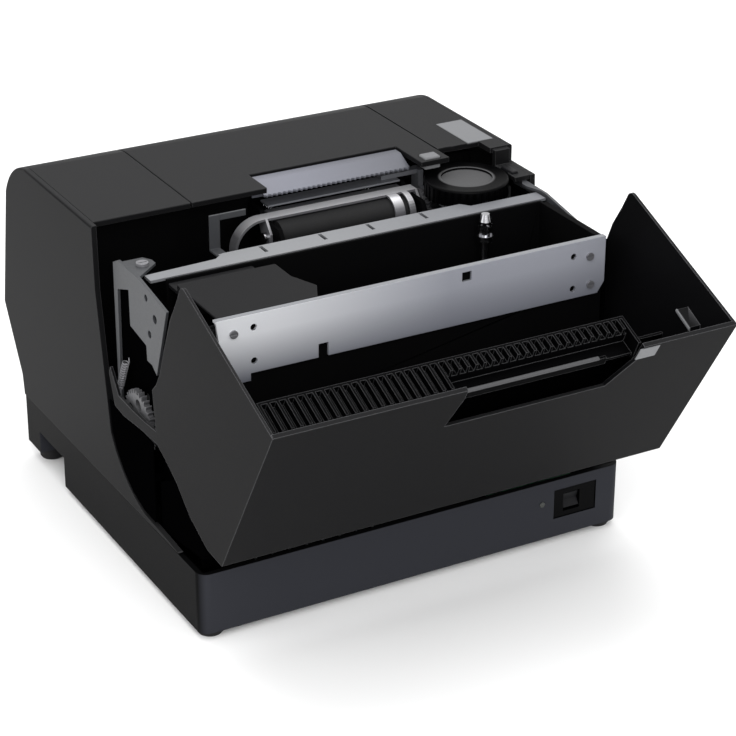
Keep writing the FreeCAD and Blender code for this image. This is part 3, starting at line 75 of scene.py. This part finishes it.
class Graph:
    """Short way to build one node material."""

    def __init__(self, name):
        self.material = bpy.data.materials.new(name)
        self.material.use_nodes = True
        self.tree = self.material.node_tree
        self.shader = self.tree.nodes["Principled BSDF"]
        self.place = self.node("ShaderNodeTexCoord").outputs["Object"]

    def node(self, kind, **values):
        made = self.tree.nodes.new(kind)
        for key, value in values.items():
            setattr(made, key, value)
        return made

    def link(self, a, b):
        self.tree.links.new(a, b)

    def mapping(self, scale):
        made = self.node("ShaderNodeMapping")
        made.inputs["Scale"].default_value = scale
        self.link(self.place, made.inputs["Vector"])
        return made.outputs["Vector"]

    def noise(self, scale, detail=3.0, rough=0.5, stretch=None):
        made = self.node("ShaderNodeTexNoise")
        made.inputs["Scale"].default_value = scale
        made.inputs["Detail"].default_value = detail
        made.inputs["Roughness"].default_value = rough
        self.link(self.mapping(stretch) if stretch else self.place, made.inputs["Vector"])
        return made.outputs["Fac"]

    def ramp(self, value, stops):
        """Colour that runs through the stops, each a place from 0 to 1 and a colour."""
        made = self.node("ShaderNodeValToRGB")
        elements = made.color_ramp.elements
        while len(elements) < len(stops):
            elements.new(0.5)
        for element, (at, colour) in zip(elements, stops):
            element.position = at
            element.color = (*colour, 1.0)
        self.link(value, made.inputs["Fac"])
        return made.outputs["Color"]

    def range(self, value, low, high, from_low=0.3, from_high=0.7):
        """Runs from low to high as the value runs from from_low to from_high."""
        made = self.node("ShaderNodeMapRange")
        made.inputs["From Min"].default_value = from_low
        made.inputs["From Max"].default_value = from_high
        made.inputs["To Min"].default_value = low
        made.inputs["To Max"].default_value = high
        self.link(value, made.inputs["Value"])
        return made.outputs["Result"]

    def bump(self, height, depth, strength=1.0, radius=0.0):
        """Relief on the surface; radius also rounds the look of sharp edges."""
        made = self.node("ShaderNodeBump")
        made.inputs["Distance"].default_value = depth
        made.inputs["Strength"].default_value = strength
        self.link(height, made.inputs["Height"])
        if radius:
            self.link(self.rounded(radius), made.inputs["Normal"])
        self.link(made.outputs["Normal"], self.shader.inputs["Normal"])

    def rounded(self, radius):
        """Surface direction as if every edge within the radius were rounded."""
        bevel = self.node("ShaderNodeBevel", samples=BEVEL_SAMPLES)
        bevel.inputs["Radius"].default_value = radius
        return bevel.outputs["Normal"]

    def set(self, name, value):
        socket = self.shader.inputs[name]
        if hasattr(value, "node"):
            self.link(value, socket)
        else:
            socket.default_value = value


def shade(colour, factor):
    return tuple(min(1.0, c * factor) for c in colour)


def mix_colour(g, share, first, second):
    """Colour first where share is 0 and second where it is 1; second is a plain colour."""
    mix = g.node("ShaderNodeMix", data_type="RGBA")
    g.link(share, mix.inputs["Factor"])
    g.link(first, mix.inputs["A"])
    mix.inputs["B"].default_value = (*second, 1.0)
    return mix.outputs["Result"]


def facing(g, axis, low, high):
    """0 to 1 as the surface turns towards one axis."""
    split = g.node("ShaderNodeSeparateXYZ")
    g.link(g.node("ShaderNodeNewGeometry").outputs["Normal"], split.inputs[0])
    return g.range(split.outputs[axis], 0.0, 1.0, low, high)


def between(g, axis, start, end):
    """0 to 1 from one place to another along an axis."""
    split = g.node("ShaderNodeSeparateXYZ")
    g.link(g.place, split.inputs[0])
    return g.range(split.outputs[axis], 0.0, 1.0, start, end)


def inside_circle(g, value, x, y, radius, soft=0.0006):
    """The value inside a circle about an upright axis, and 0 outside it, with a soft border."""
    flat = g.node("ShaderNodeVectorMath", operation="MULTIPLY")
    g.link(g.place, flat.inputs[0])
    flat.inputs[1].default_value = (1.0, 1.0, 0.0)
    away = g.node("ShaderNodeVectorMath", operation="DISTANCE")
    g.link(flat.outputs["Vector"], away.inputs[0])
    away.inputs[1].default_value = (x, y, 0.0)
    share = g.range(away.outputs["Value"], 1.0, 0.0, radius - soft, radius + soft)
    made = g.node("ShaderNodeMath", operation="MULTIPLY")
    g.link(value, made.inputs[0])
    g.link(share, made.inputs[1])
    return made.outputs["Value"]


# Painted edge highlight: edges of mouldings are lightened as if they caught the light.
EDGE_HIGHLIGHT_REACH = 0.0006     # how far the painted edge highlight reaches from an edge
EDGE_HIGHLIGHT_FULL_AT = 0.75          # cosine between the rounded and the true direction at the full painted highlight
EDGE_HIGHLIGHT_NONE_AT = 0.995


# Mask of the painted edge highlight.
def edge_highlight_share(g):
    """0 on flat faces, rising on rounded and sharp edges."""
    dot = g.node("ShaderNodeVectorMath", operation="DOT_PRODUCT")
    g.link(g.rounded(EDGE_HIGHLIGHT_REACH), dot.inputs[0])
    g.link(g.node("ShaderNodeNewGeometry").outputs["True Normal"], dot.inputs[1])
    return g.range(dot.outputs["Value"], 1.0, 0.0, EDGE_HIGHLIGHT_FULL_AT, EDGE_HIGHLIGHT_NONE_AT)


# ---- materials ---------------------------------------------------------------------------
# Light colour mixed into faces turned up: dust and painted top light, and on the cutter wheel a
# painted reflection.
DUST_AND_SHEEN_COLOUR = (0.2, 0.2, 0.205)


def moulded(name, colour, rough=0.5, grain=2600.0, depth=0.00003, specular=0.12, dust_and_sheen=0.0,
            sheen_circle=None, front=None, edge=None):
    """Spark-textured moulding: fine grain and a faint slow change of tone. Faces turned up are mixed
    towards a light colour, within the circle (x, y, radius) where one is given: dust and painted top
    light on the housing and cover, a painted reflection on the cutter wheel. front is the colour of
    faces turned to the front, a painted lit face, and edge that of edges, a painted edge highlight."""
    g = Graph(name)
    fine = g.noise(grain, detail=2.0, rough=0.6)
    slow = g.noise(9.0, detail=2.0)
    tone = g.ramp(slow, ((0.3, shade(colour, 0.95)), (0.7, shade(colour, 1.05))))
    # Faces turned to the front get a lighter colour: a painted lit front face.
    if front:
        tone = mix_colour(g, facing(g, "Y", -0.3, -0.9), tone, front)
    # Faces turned up are lightened: dust and painted top light; inside the circle, a painted
    # reflection.
    if dust_and_sheen:
        up = g.range(facing(g, "Z", 0.6, 1.0), 0.0, dust_and_sheen, 0.0, 1.0)
        if sheen_circle:
            up = inside_circle(g, up, *sheen_circle)
        tone = mix_colour(g, up, tone, DUST_AND_SHEEN_COLOUR)
    # Edges are lightened: a painted edge highlight.
    if edge:
        tone = mix_colour(g, edge_highlight_share(g), tone, edge)
    g.set("Base Color", tone)
    g.set("Roughness", g.range(fine, rough - 0.04, rough + 0.05))
    g.set("Specular IOR Level", specular)
    g.bump(fine, depth, strength=0.8, radius=0.0005)
    return g.material


# Stretch of the rolling streaks: they are finest along the named axis.
FINE_X = (14.0, 1.0, 1.0)
FINE_Y = (1.0, 14.0, 1.0)
FINE_Z = (1.0, 1.0, 14.0)
EVEN = (1.0, 1.0, 1.0)


def sheet_metal(name, colour, tint, rough, along, metallic, shade_along_x=None, shade_along_z=None, painted_top_tone=None):
    """Plated sheet: clouds between tint and colour, rolling streaks and fine scratches. The X and Z
    runs, each (start, end, colour), go to that colour between two places along X and along Z as a
    painted shade, and the last colour is that of faces turned up: painted light, a shade on the
    front plate's top lip and a highlight along the bail."""
    g = Graph(name)
    streak = g.noise(420.0, detail=4.0, rough=0.65, stretch=along)
    cloud = g.noise(12.0, detail=2.0)
    tone = g.ramp(cloud, ((0.25, shade(tint, 0.97)), (0.6, colour), (0.8, shade(colour, 1.03))))
    # Darker towards one end along X and along Z: a painted shade.
    for axis, run in (("X", shade_along_x), ("Z", shade_along_z)):
        if run:
            start, end, far_colour = run
            tone = mix_colour(g, between(g, axis, start, end), tone, far_colour)
    # Faces turned up get their own colour: painted light on the top faces.
    if painted_top_tone:
        tone = mix_colour(g, facing(g, "Z", 0.5, 0.95), tone, painted_top_tone)
    g.set("Base Color", tone)
    g.set("Metallic", metallic)
    g.set("Roughness", g.range(streak, rough - 0.05, rough + 0.07, 0.35, 0.7))
    g.bump(streak, 0.00001, strength=0.5, radius=0.0003)
    return g.material


def ground_steel(name, colour, rough=0.16):
    """Ground and polished bar, with fine marks round it."""
    g = Graph(name)
    marks = g.noise(900.0, rough=0.6, stretch=(8.0, 1.0, 1.0))
    g.set("Base Color", g.ramp(marks, ((0.3, shade(colour, 0.9)), (0.7, colour))))
    g.set("Metallic", 1.0)
    g.set("Roughness", g.range(marks, rough - 0.04, rough + 0.08))
    g.bump(marks, 0.000008, strength=0.5)
    return g.material


def rubber(name, colour, rough=0.75):
    """Matt rubber with pores and patches of wear."""
    g = Graph(name)
    pores = g.noise(1800.0, detail=4.0, rough=0.7)
    wear = g.noise(40.0)
    g.set("Base Color", g.ramp(wear, ((0.3, shade(colour, 0.8)), (0.7, shade(colour, 1.35)))))
    g.set("Roughness", g.range(pores, rough - 0.08, rough + 0.1))
    g.set("Specular IOR Level", 0.3)
    g.bump(pores, 0.00006, strength=0.8, radius=0.0004)
    return g.material


def circuit_board(name):
    """Green solder mask over copper tracks."""
    g = Graph(name)
    brick = g.node("ShaderNodeTexBrick")
    brick.inputs["Scale"].default_value = 160.0
    brick.inputs["Mortar Size"].default_value = 0.06
    g.link(g.place, brick.inputs["Vector"])
    tracks = g.range(brick.outputs["Fac"], 0.0, 1.0, 0.2, 0.8)
    g.set("Base Color", g.ramp(tracks, ((0.0, (0.012, 0.10, 0.05)), (1.0, (0.03, 0.2, 0.09)))))
    g.set("Roughness", g.range(g.noise(80.0), 0.25, 0.4))
    g.bump(tracks, 0.00003, strength=0.6)
    return g.material


def lens(name, colour):
    """Clear status light with a faint frosted core."""
    g = Graph(name)
    frost = g.noise(900.0, detail=2.0)
    g.set("Base Color", g.ramp(frost, ((0.3, shade(colour, 0.8)), (0.7, colour))))
    g.set("Roughness", g.range(frost, 0.12, 0.3))
    g.set("Transmission Weight", 0.4)
    g.bump(frost, 0.00001, strength=0.4)
    return g.material


WHEEL_SHEEN_SPOT = (0.0895, 0.023, 0.0152)    # the cutter wheel's axis, and just past its dished top: the circle of the painted reflection

# Housing: faces turned up are lightened, partly dust and partly painted top light; edges are
# lightened, a painted edge highlight.
HOUSING = moulded("housing", (0.0048, 0.0048, 0.0052), specular=0.048, dust_and_sheen=0.06,
                  edge=(0.05, 0.05, 0.052))
# Base: near black, with faces turned to the front painted lighter, a painted lit front face.
BASE = moulded("base_housing", (0.0018, 0.0018, 0.0020), specular=0.032,
               front=(0.024, 0.025, 0.030))
# Front cover: faces turned up are lightened, partly dust and partly painted top light; edges carry a
# stronger painted edge highlight.
COVER = moulded("cover_housing", (0.0032, 0.0032, 0.0036), specular=0.042, dust_and_sheen=0.06,
                edge=(0.12, 0.12, 0.126))
# Near black without sheen, for parts standing in shadow: a painted shade.
SHADE_BLACK = moulded("painted_shade_black", (0.0006, 0.0006, 0.0007), 0.8, 1800.0, specular=0.0)
# Guide: its rib edges are lightened, a painted edge highlight.
GUIDE = moulded("guide", (0.0008, 0.0008, 0.001), 0.55, 2200.0, specular=0.02,
                edge=(0.075, 0.075, 0.078))
INNER = moulded("inner", (0.0018, 0.0018, 0.002), 0.65, 1800.0, specular=0.03)
# Shelf: its edges are lightened, a painted edge highlight.
SHELF = moulded("shelf", (0.006, 0.006, 0.0067), 0.5, 2400.0, specular=0.07,
                edge=(0.04, 0.04, 0.042))
BUTTON = moulded("button", (0.008, 0.008, 0.009), 0.42, 3000.0, specular=0.1)
RELEASE = moulded("release_button", (0.15, 0.152, 0.158), 0.42, 3000.0, specular=0.1)
BADGE = moulded("badge", (0.15, 0.153, 0.16), 0.45, 3000.0, 0.00002, specular=0.2)
# Cutter wheel: faces turned up inside the circle about its axis are strongly lightened, a painted
# reflection on the drum's top.
WHEEL = moulded("wheel", (0.0008, 0.0008, 0.001), 0.36, specular=0.04, dust_and_sheen=0.36,
                sheen_circle=WHEEL_SHEEN_SPOT)
COMPONENT = moulded("component", (0.02, 0.02, 0.022), 0.45, 2000.0)
# Light moulding for the strip on the ledge lip: a painted highlight.
LIP_HIGHLIGHT = moulded("lip_highlight_moulding", (0.05, 0.05, 0.053), 0.4, specular=0.3)
SHEET = sheet_metal("zinc_sheet", (0.17, 0.175, 0.19), (0.16, 0.165, 0.185), 0.5, FINE_Z, 0.35)
BRACKET = sheet_metal("bracket_sheet", (0.045, 0.047, 0.051), (0.039, 0.041, 0.047), 0.5,
                      FINE_Z, 0.25)
# Rear rail: darker towards +X, a painted shade.
RAIL = sheet_metal("rail_sheet", (0.22, 0.225, 0.235), (0.20, 0.205, 0.22), 0.42, FINE_Y, 0.4,
                   shade_along_x=(-0.02, 0.09, (0.16, 0.165, 0.18)))
# Front plate: darker towards +X and towards the bottom, a painted shade, and its top faces darker, a
# painted shade on the top lip.
PLATE = sheet_metal("front_plate_sheet", (0.86, 0.87, 0.90), (0.82, 0.84, 0.88), 0.38, FINE_X, 0.25,
                    shade_along_x=(-0.10, 0.02, (0.36, 0.37, 0.42)), shade_along_z=(0.158, 0.134, (0.17, 0.178, 0.21)),
                    painted_top_tone=(0.2, 0.205, 0.22))
# Cutter plate: darker towards +X, a painted shade.
CUTTER = sheet_metal("cutter_sheet", (0.155, 0.158, 0.185), (0.145, 0.15, 0.18), 0.5, FINE_X, 0.3,
                     shade_along_x=(0.0, 0.06, (0.095, 0.098, 0.115)))
# Bail strip: faces turned up much lighter than the rest, a painted highlight along its top.
BAIL = sheet_metal("bail_strip", (0.16, 0.16, 0.17), (0.15, 0.15, 0.165), 0.35, FINE_X, 0.4,
                   painted_top_tone=(0.62, 0.62, 0.64))
SCREW = sheet_metal("screw_head", (0.22, 0.22, 0.23), (0.2, 0.2, 0.22), 0.4, EVEN, 0.6)
GEAR = sheet_metal("sintered_gear", (0.09, 0.09, 0.095), (0.08, 0.08, 0.09), 0.5, EVEN, 0.4)
MOTOR = sheet_metal("motor_can", (0.16, 0.16, 0.17), (0.15, 0.155, 0.17), 0.38, FINE_X, 0.7)
HEAD = sheet_metal("cast_head", (0.10, 0.10, 0.105), (0.09, 0.09, 0.10), 0.5, EVEN, 0.6)
BRIGHT = ground_steel("bright_steel", (0.45, 0.45, 0.47))
RUBBER = rubber("rubber", (0.005, 0.005, 0.0055))
BOARD = circuit_board("circuit_board")
LIGHT = lens("status_lens", (0.05, 0.055, 0.05))

# Each node takes its slot's material, apart from those in NODE_MATERIAL.
SLOT_MATERIAL = {
    "housing_black": HOUSING, "guide_black": GUIDE, "inner_black": INNER, "shelf_grey": SHELF,
    "button_grey": BUTTON, "badge_silver": BADGE, "led_clear": LIGHT, "rubber_black": RUBBER,
    "sheet_steel": SHEET, "bright_steel": BRIGHT, "screw_steel": SCREW, "motor_steel": MOTOR,
    "head_metal": HEAD, "wheel_black": WHEEL, "gear_metal": GEAR, "board_green": BOARD,
    "component_black": COMPONENT,
}
NODE_MATERIAL = {
    "front_plate": PLATE, "cutter_plate": CUTTER, "paper_bail": BAIL, "rear_rail": RAIL,
    # slip_frame and gear_guard take the near-black moulding without sheen: a painted shade where
    # they stand in shadow.
    "slip_frame": SHADE_BLACK, "gear_guard": SHADE_BLACK, "front_cover": COVER, "release_button": RELEASE,
    "base_pan": BASE, "left_chassis_plate": BRACKET, "right_chassis_plate": BRACKET,
    "switch_bezel": WHEEL,
}

# Width of the rounded edges of each moulded node.
SOFT_EDGES = {
    "left_side_panel": 0.0012, "right_side_panel": 0.0012, "left_top_cover": 0.0004,
    "right_top_cover": 0.0006, "receipt_cover": 0.0005, "front_cover": 0.0007,
    "base_pan": 0.0006, "rear_cover": 0.0005, "cutter_wheel": 0.0005, "release_button": 0.0006,
    "feed_button": 0.0006, "switch_bezel": 0.0005, "power_rocker": 0.0005, "home_shelf": 0.0004,
    "ribbon_tray": 0.0004, "badge_plate": 0.0003,
}
WELD_WITHIN = 0.000005
CAD_EDGE_ANGLE = math.radians(35.0)
PIECE_EDGE_ANGLE = math.radians(30.0)


def dress(obj, material):
    obj.data.materials.clear()
    obj.data.materials.append(material)


def round_edges(obj, width, angle):
    bevel = obj.modifiers.new("edges", "BEVEL")
    bevel.width = width
    bevel.segments = 2
    bevel.limit_method = "ANGLE"
    bevel.angle_limit = angle
    bevel.harden_normals = False


def dress_cad():
    for part in frame["record"]["subparts"]:
        name = part["node"]
        dress(NODES[name], NODE_MATERIAL.get(name, SLOT_MATERIAL[part["material_slot"]]))
    for name, width in SOFT_EDGES.items():
        weld = NODES[name].modifiers.new("weld", "WELD")
        weld.merge_threshold = WELD_WITHIN
        round_edges(NODES[name], width, CAD_EDGE_ANGLE)


# ---- stage -------------------------------------------------------------------------------
FLOOR_HALF = 6.0
FLOOR_Z = -0.0002
FLOOR_TONES = ((0.3, (0.86, 0.86, 0.86)), (0.7, (0.88, 0.88, 0.88)))
LIGHT_AIM = (0.0, 0.0, 0.1)
LIGHTS = (      # name, place, size, watts
    ("key", (-0.9, -1.0, 1.5), (1.2, 1.2), 11.0),
    ("top", (0.2, 0.5, 1.7), (1.8, 1.4), 16.0),
    ("side", (-1.6, 0.2, 0.6), (1.0, 1.0), 4.0),
    ("front", (-0.35, -1.6, 0.9), (1.0, 0.6), 12.0),
)


def make_stage():
    bm = bmesh.new()
    bmesh.ops.create_grid(bm, x_segments=2, y_segments=2, size=FLOOR_HALF)
    mesh = bpy.data.meshes.new("floor")
    bm.to_mesh(mesh)
    bm.free()
    floor = bpy.data.objects.new("floor", mesh)
    floor.location = (0, 0, FLOOR_Z)
    bpy.context.scene.collection.objects.link(floor)
    g = Graph("floor")
    g.set("Base Color", g.ramp(g.noise(3.0), FLOOR_TONES))
    g.set("Roughness", 0.9)
    g.set("Specular IOR Level", 0.1)
    dress(floor, g.material)


def area_light(name, at, size, power):
    data = bpy.data.lights.new(name, "AREA")
    data.shape = "RECTANGLE"
    data.size, data.size_y = size
    data.energy = power
    obj = bpy.data.objects.new(name, data)
    obj.location = at
    towards = Vector(LIGHT_AIM) - Vector(at)
    obj.rotation_euler = towards.to_track_quat("-Z", "Y").to_euler()
    bpy.context.scene.collection.objects.link(obj)


def make_lights():
    world = bpy.data.worlds.new("studio")
    world.use_nodes = True
    background = world.node_tree.nodes["Background"]
    background.inputs["Color"].default_value = (1.0, 1.0, 1.0, 1.0)
    background.inputs["Strength"].default_value = 1.0
    bpy.context.scene.world = world
    for name, at, size, power in LIGHTS:
        area_light(name, at, size, power)
    bpy.context.scene.view_settings.view_transform = "Standard"


# ---- added pieces, in millimetres --------------------------------------------------------
# (y, z) of the front panel's outer face and of the ribbed guide's upper line, front cover open.
PANEL_TOP = (-171.3, 154.0)
PANEL_BOTTOM = (-115.0, 60.0)
GUIDE_FRONT = (-168.3, 152.6)
GUIDE_REAR = (-149.0, 161.2)
PLATEN_AXIS = (40.0, 152.0)


def along_line(start, end, along, up):
    """Point (y, z) that lies along the line from start to end and up from it."""
    dy, dz = end[0] - start[0], end[1] - start[1]
    length = math.hypot(dy, dz)
    return (start[0] + (along * dy - up * dz) / length,
            start[1] + (along * dz + up * dy) / length)


def add_piece(name, bm, body, material, bevel=0.0, smooth=False):
    for vertex in bm.verts:
        vertex.co *= MM
    bmesh.ops.recalc_face_normals(bm, faces=bm.faces)
    mesh = bpy.data.meshes.new(name)
    bm.to_mesh(mesh)
    bm.free()
    for face in mesh.polygons:
        face.use_smooth = smooth
    obj = bpy.data.objects.new(name, mesh)
    bpy.context.scene.collection.objects.link(obj)
    if bevel:
        round_edges(obj, bevel, PIECE_EDGE_ANGLE)
    dress(obj, material)
    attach(obj, body)


def add_prism(bm, outline, x0, x1):
    """Closed prism between x0 and x1 with its outline given as (y, z)."""
    near = [bm.verts.new((x0, y, z)) for y, z in outline]
    far = [bm.verts.new((x1, y, z)) for y, z in outline]
    bm.faces.new(near)
    bm.faces.new(tuple(reversed(far)))
    for k in range(len(outline)):
        after = (k + 1) % len(outline)
        bm.faces.new((near[k], far[k], far[after], near[after]))


def add_strip(bm, outer, inner, x0, x1):
    """Closed curved strip between x0 and x1, from an outer to an inner line of (y, z) points."""
    a, b, c, d = ([bm.verts.new((x, y, z)) for y, z in line]
                  for line in (outer, inner) for x in (x0, x1))
    for k in range(len(outer) - 1):
        for first, second in ((a, b), (d, c), (c, a), (b, d)):
            bm.faces.new((first[k], first[k + 1], second[k + 1], second[k]))
    for k in (0, len(outer) - 1):
        bm.faces.new((a[k], b[k], d[k], c[k]))


def add_tube(bm, points, radius, sides):
    """Closed round bar swept through the points."""
    rings = []
    side = None
    for k, point in enumerate(points):
        ahead = Vector(points[min(k + 1, len(points) - 1)])
        behind = Vector(points[max(k - 1, 0)])
        along = (ahead - behind).normalized()
        if side is None:
            side = along.orthogonal().normalized()
        side = (side - along * side.dot(along)).normalized()
        other = along.cross(side)
        ring = []
        for step in range(sides):
            angle = math.tau * step / sides
            offset = side * math.cos(angle) + other * math.sin(angle)
            ring.append(bm.verts.new(Vector(point) + offset * radius))
        rings.append(ring)
    for first, second in zip(rings, rings[1:]):
        for k in range(sides):
            after = (k + 1) % sides
            bm.faces.new((first[k], first[after], second[after], second[k]))
    bm.faces.new(tuple(reversed(rings[0])))
    bm.faces.new(rings[-1])


CUT_OUT_X = (-27.0, 54.0)
LIP_ALONG = (4.9, 6.9)
LIP_UP = (-8.9, -7.7)


def make_lip_highlight():
    """Bright strip on the lip of the ledge inside the cut-out: a painted highlight."""
    bm = bmesh.new()
    (a0, a1), (u0, u1) = LIP_ALONG, LIP_UP
    corners = [along_line(GUIDE_FRONT, GUIDE_REAR, a, u)
               for a, u in ((a0, u0), (a1, u0), (a1, u1), (a0, u1))]
    add_prism(bm, corners, *CUT_OUT_X)
    add_piece("lip_highlight_strip", bm, "front_cover_body", LIP_HIGHLIGHT, 0.0003)


COVER_BADGE_X = (70.0, 81.5)
COVER_BADGE_DOWN = (1.2, 9.6)
COVER_BADGE_OUT = (-0.3, 0.35)


def make_cover_badge():
    """Small blank raised badge on the front panel beside the cut-out."""
    bm = bmesh.new()
    (d0, d1), (o0, o1) = COVER_BADGE_DOWN, COVER_BADGE_OUT
    corners = [along_line(PANEL_TOP, PANEL_BOTTOM, down, -out)
               for down, out in ((d0, o0), (d0, o1), (d1, o1), (d1, o0))]
    add_prism(bm, corners, *COVER_BADGE_X)
    add_piece("cover_badge", bm, "front_cover_body", BADGE, 0.0003)


WALL_RIB_X = (118.0, 119.0)
WALL_RIB_OUTLINE = ((-132.6, 148.7), (-144.4, 142.8), (-144.4, 141.2), (-132.2, 147.3))


def make_wall_rib_highlight():
    """Light strip along the short rib inside the right wall of the cover: a painted highlight."""
    bm = bmesh.new()
    add_prism(bm, WALL_RIB_OUTLINE, *WALL_RIB_X)
    add_piece("wall_rib_highlight", bm, "front_cover_body", BADGE, 0.0002)


BRACKET_SHEET = 1.2
BRACKET_Y = (0.6, 27.0)
BRACKET_Z = (157.0, 177.0)
BRACKET_X = (-63.0, -57.0)
BRACKET_TAB_X = -42.0
BRACKET_TAB_Z = 173.5


def make_rail_bracket():
    """Bent sheet bracket behind the rear rail, left of the paper bail, with a tab at its top."""
    bm = bmesh.new()
    (y0, y1), (z0, z1), (x0, x1) = BRACKET_Y, BRACKET_Z, BRACKET_X
    y_back = y1 - BRACKET_SHEET
    z_foot = z0 + BRACKET_SHEET
    angle = ((y0, z0), (y1, z0), (y1, z1), (y_back, z1), (y_back, z_foot), (y0, z_foot))
    tab = ((y_back, BRACKET_TAB_Z), (y1, BRACKET_TAB_Z), (y1, z1), (y_back, z1))
    add_prism(bm, angle, x0, x1)
    add_prism(bm, tab, x1, BRACKET_TAB_X)
    add_piece("rail_bracket", bm, "chassis", BRACKET, 0.0003)


APRON_X = (119.0, 120.0)
APRON_Y = (14.0, 33.0)
APRON_Z = (160.0, 168.7)


def make_deck_apron():
    """Thin apron under the deck beside the cutter drum, in the near-black moulding without sheen: a
    dark sheet standing for the shade there.
    """
    bm = bmesh.new()
    (y0, y1), (z0, z1) = APRON_Y, APRON_Z
    add_prism(bm, ((y0, z0), (y1, z0), (y1, z1), (y0, z1)), *APRON_X)
    add_piece("deck_apron", bm, "chassis", SHADE_BLACK)


FINGER_X = (59.0, 62.5)
FINGER_RADII = (10.2, 9.2)
FINGER_START = 70.0
FINGER_STEP = 9.0
FINGER_STEPS = 14


def make_bail_finger():
    """Second slim finger of the bail, curled over the front of the platen."""
    bm = bmesh.new()
    angles = [math.radians(FINGER_START + FINGER_STEP * k) for k in range(FINGER_STEPS + 1)]
    y, z = PLATEN_AXIS
    outer, inner = ([(y + radius * math.cos(angle), z + radius * math.sin(angle))
                     for angle in angles] for radius in FINGER_RADII)
    add_strip(bm, outer, inner, *FINGER_X)
    add_piece("bail_finger", bm, "bail_body", BAIL, 0.0001)


SPRING_START = Vector((-121.6, 4.0, 117.0))
SPRING_END = Vector((-121.6, 13.0, 99.0))
SPRING_TURNS = 11
SPRING_STEPS = 12
SPRING_RADIUS = 1.7
SPRING_WIRE = 0.32
SPRING_WIRE_SIDES = 6
SPRING_TAIL = 2.4
SPRING_TAIL_OFFSET = 1.2


def make_pawl_spring():
    """Small tension spring between the side plate and the slip frame, over the slip gear."""
    bm = bmesh.new()
    along = (SPRING_END - SPRING_START).normalized()
    side = Vector((1.0, 0.0, 0.0))
    other = along.cross(side)
    tail = along * SPRING_TAIL
    offset = side * SPRING_TAIL_OFFSET
    points = [SPRING_START - tail + offset]
    for k in range(SPRING_TURNS * SPRING_STEPS + 1):
        angle = math.tau * k / SPRING_STEPS
        centre = SPRING_START.lerp(SPRING_END, k / (SPRING_TURNS * SPRING_STEPS))
        points.append(centre + side * SPRING_RADIUS * math.cos(angle)
                      + other * SPRING_RADIUS * math.sin(angle))
    points.append(SPRING_END + tail + offset)
    add_tube(bm, points, SPRING_WIRE, SPRING_WIRE_SIDES)
    add_piece("pawl_spring", bm, "chassis", SCREW, smooth=True)


make_camera()
make_stage()
make_lights()
dress_cad()
make_lip_highlight()
make_cover_badge()
make_wall_rib_highlight()
make_rail_bracket()
make_deck_apron()
make_bail_finger()
make_pawl_spring()
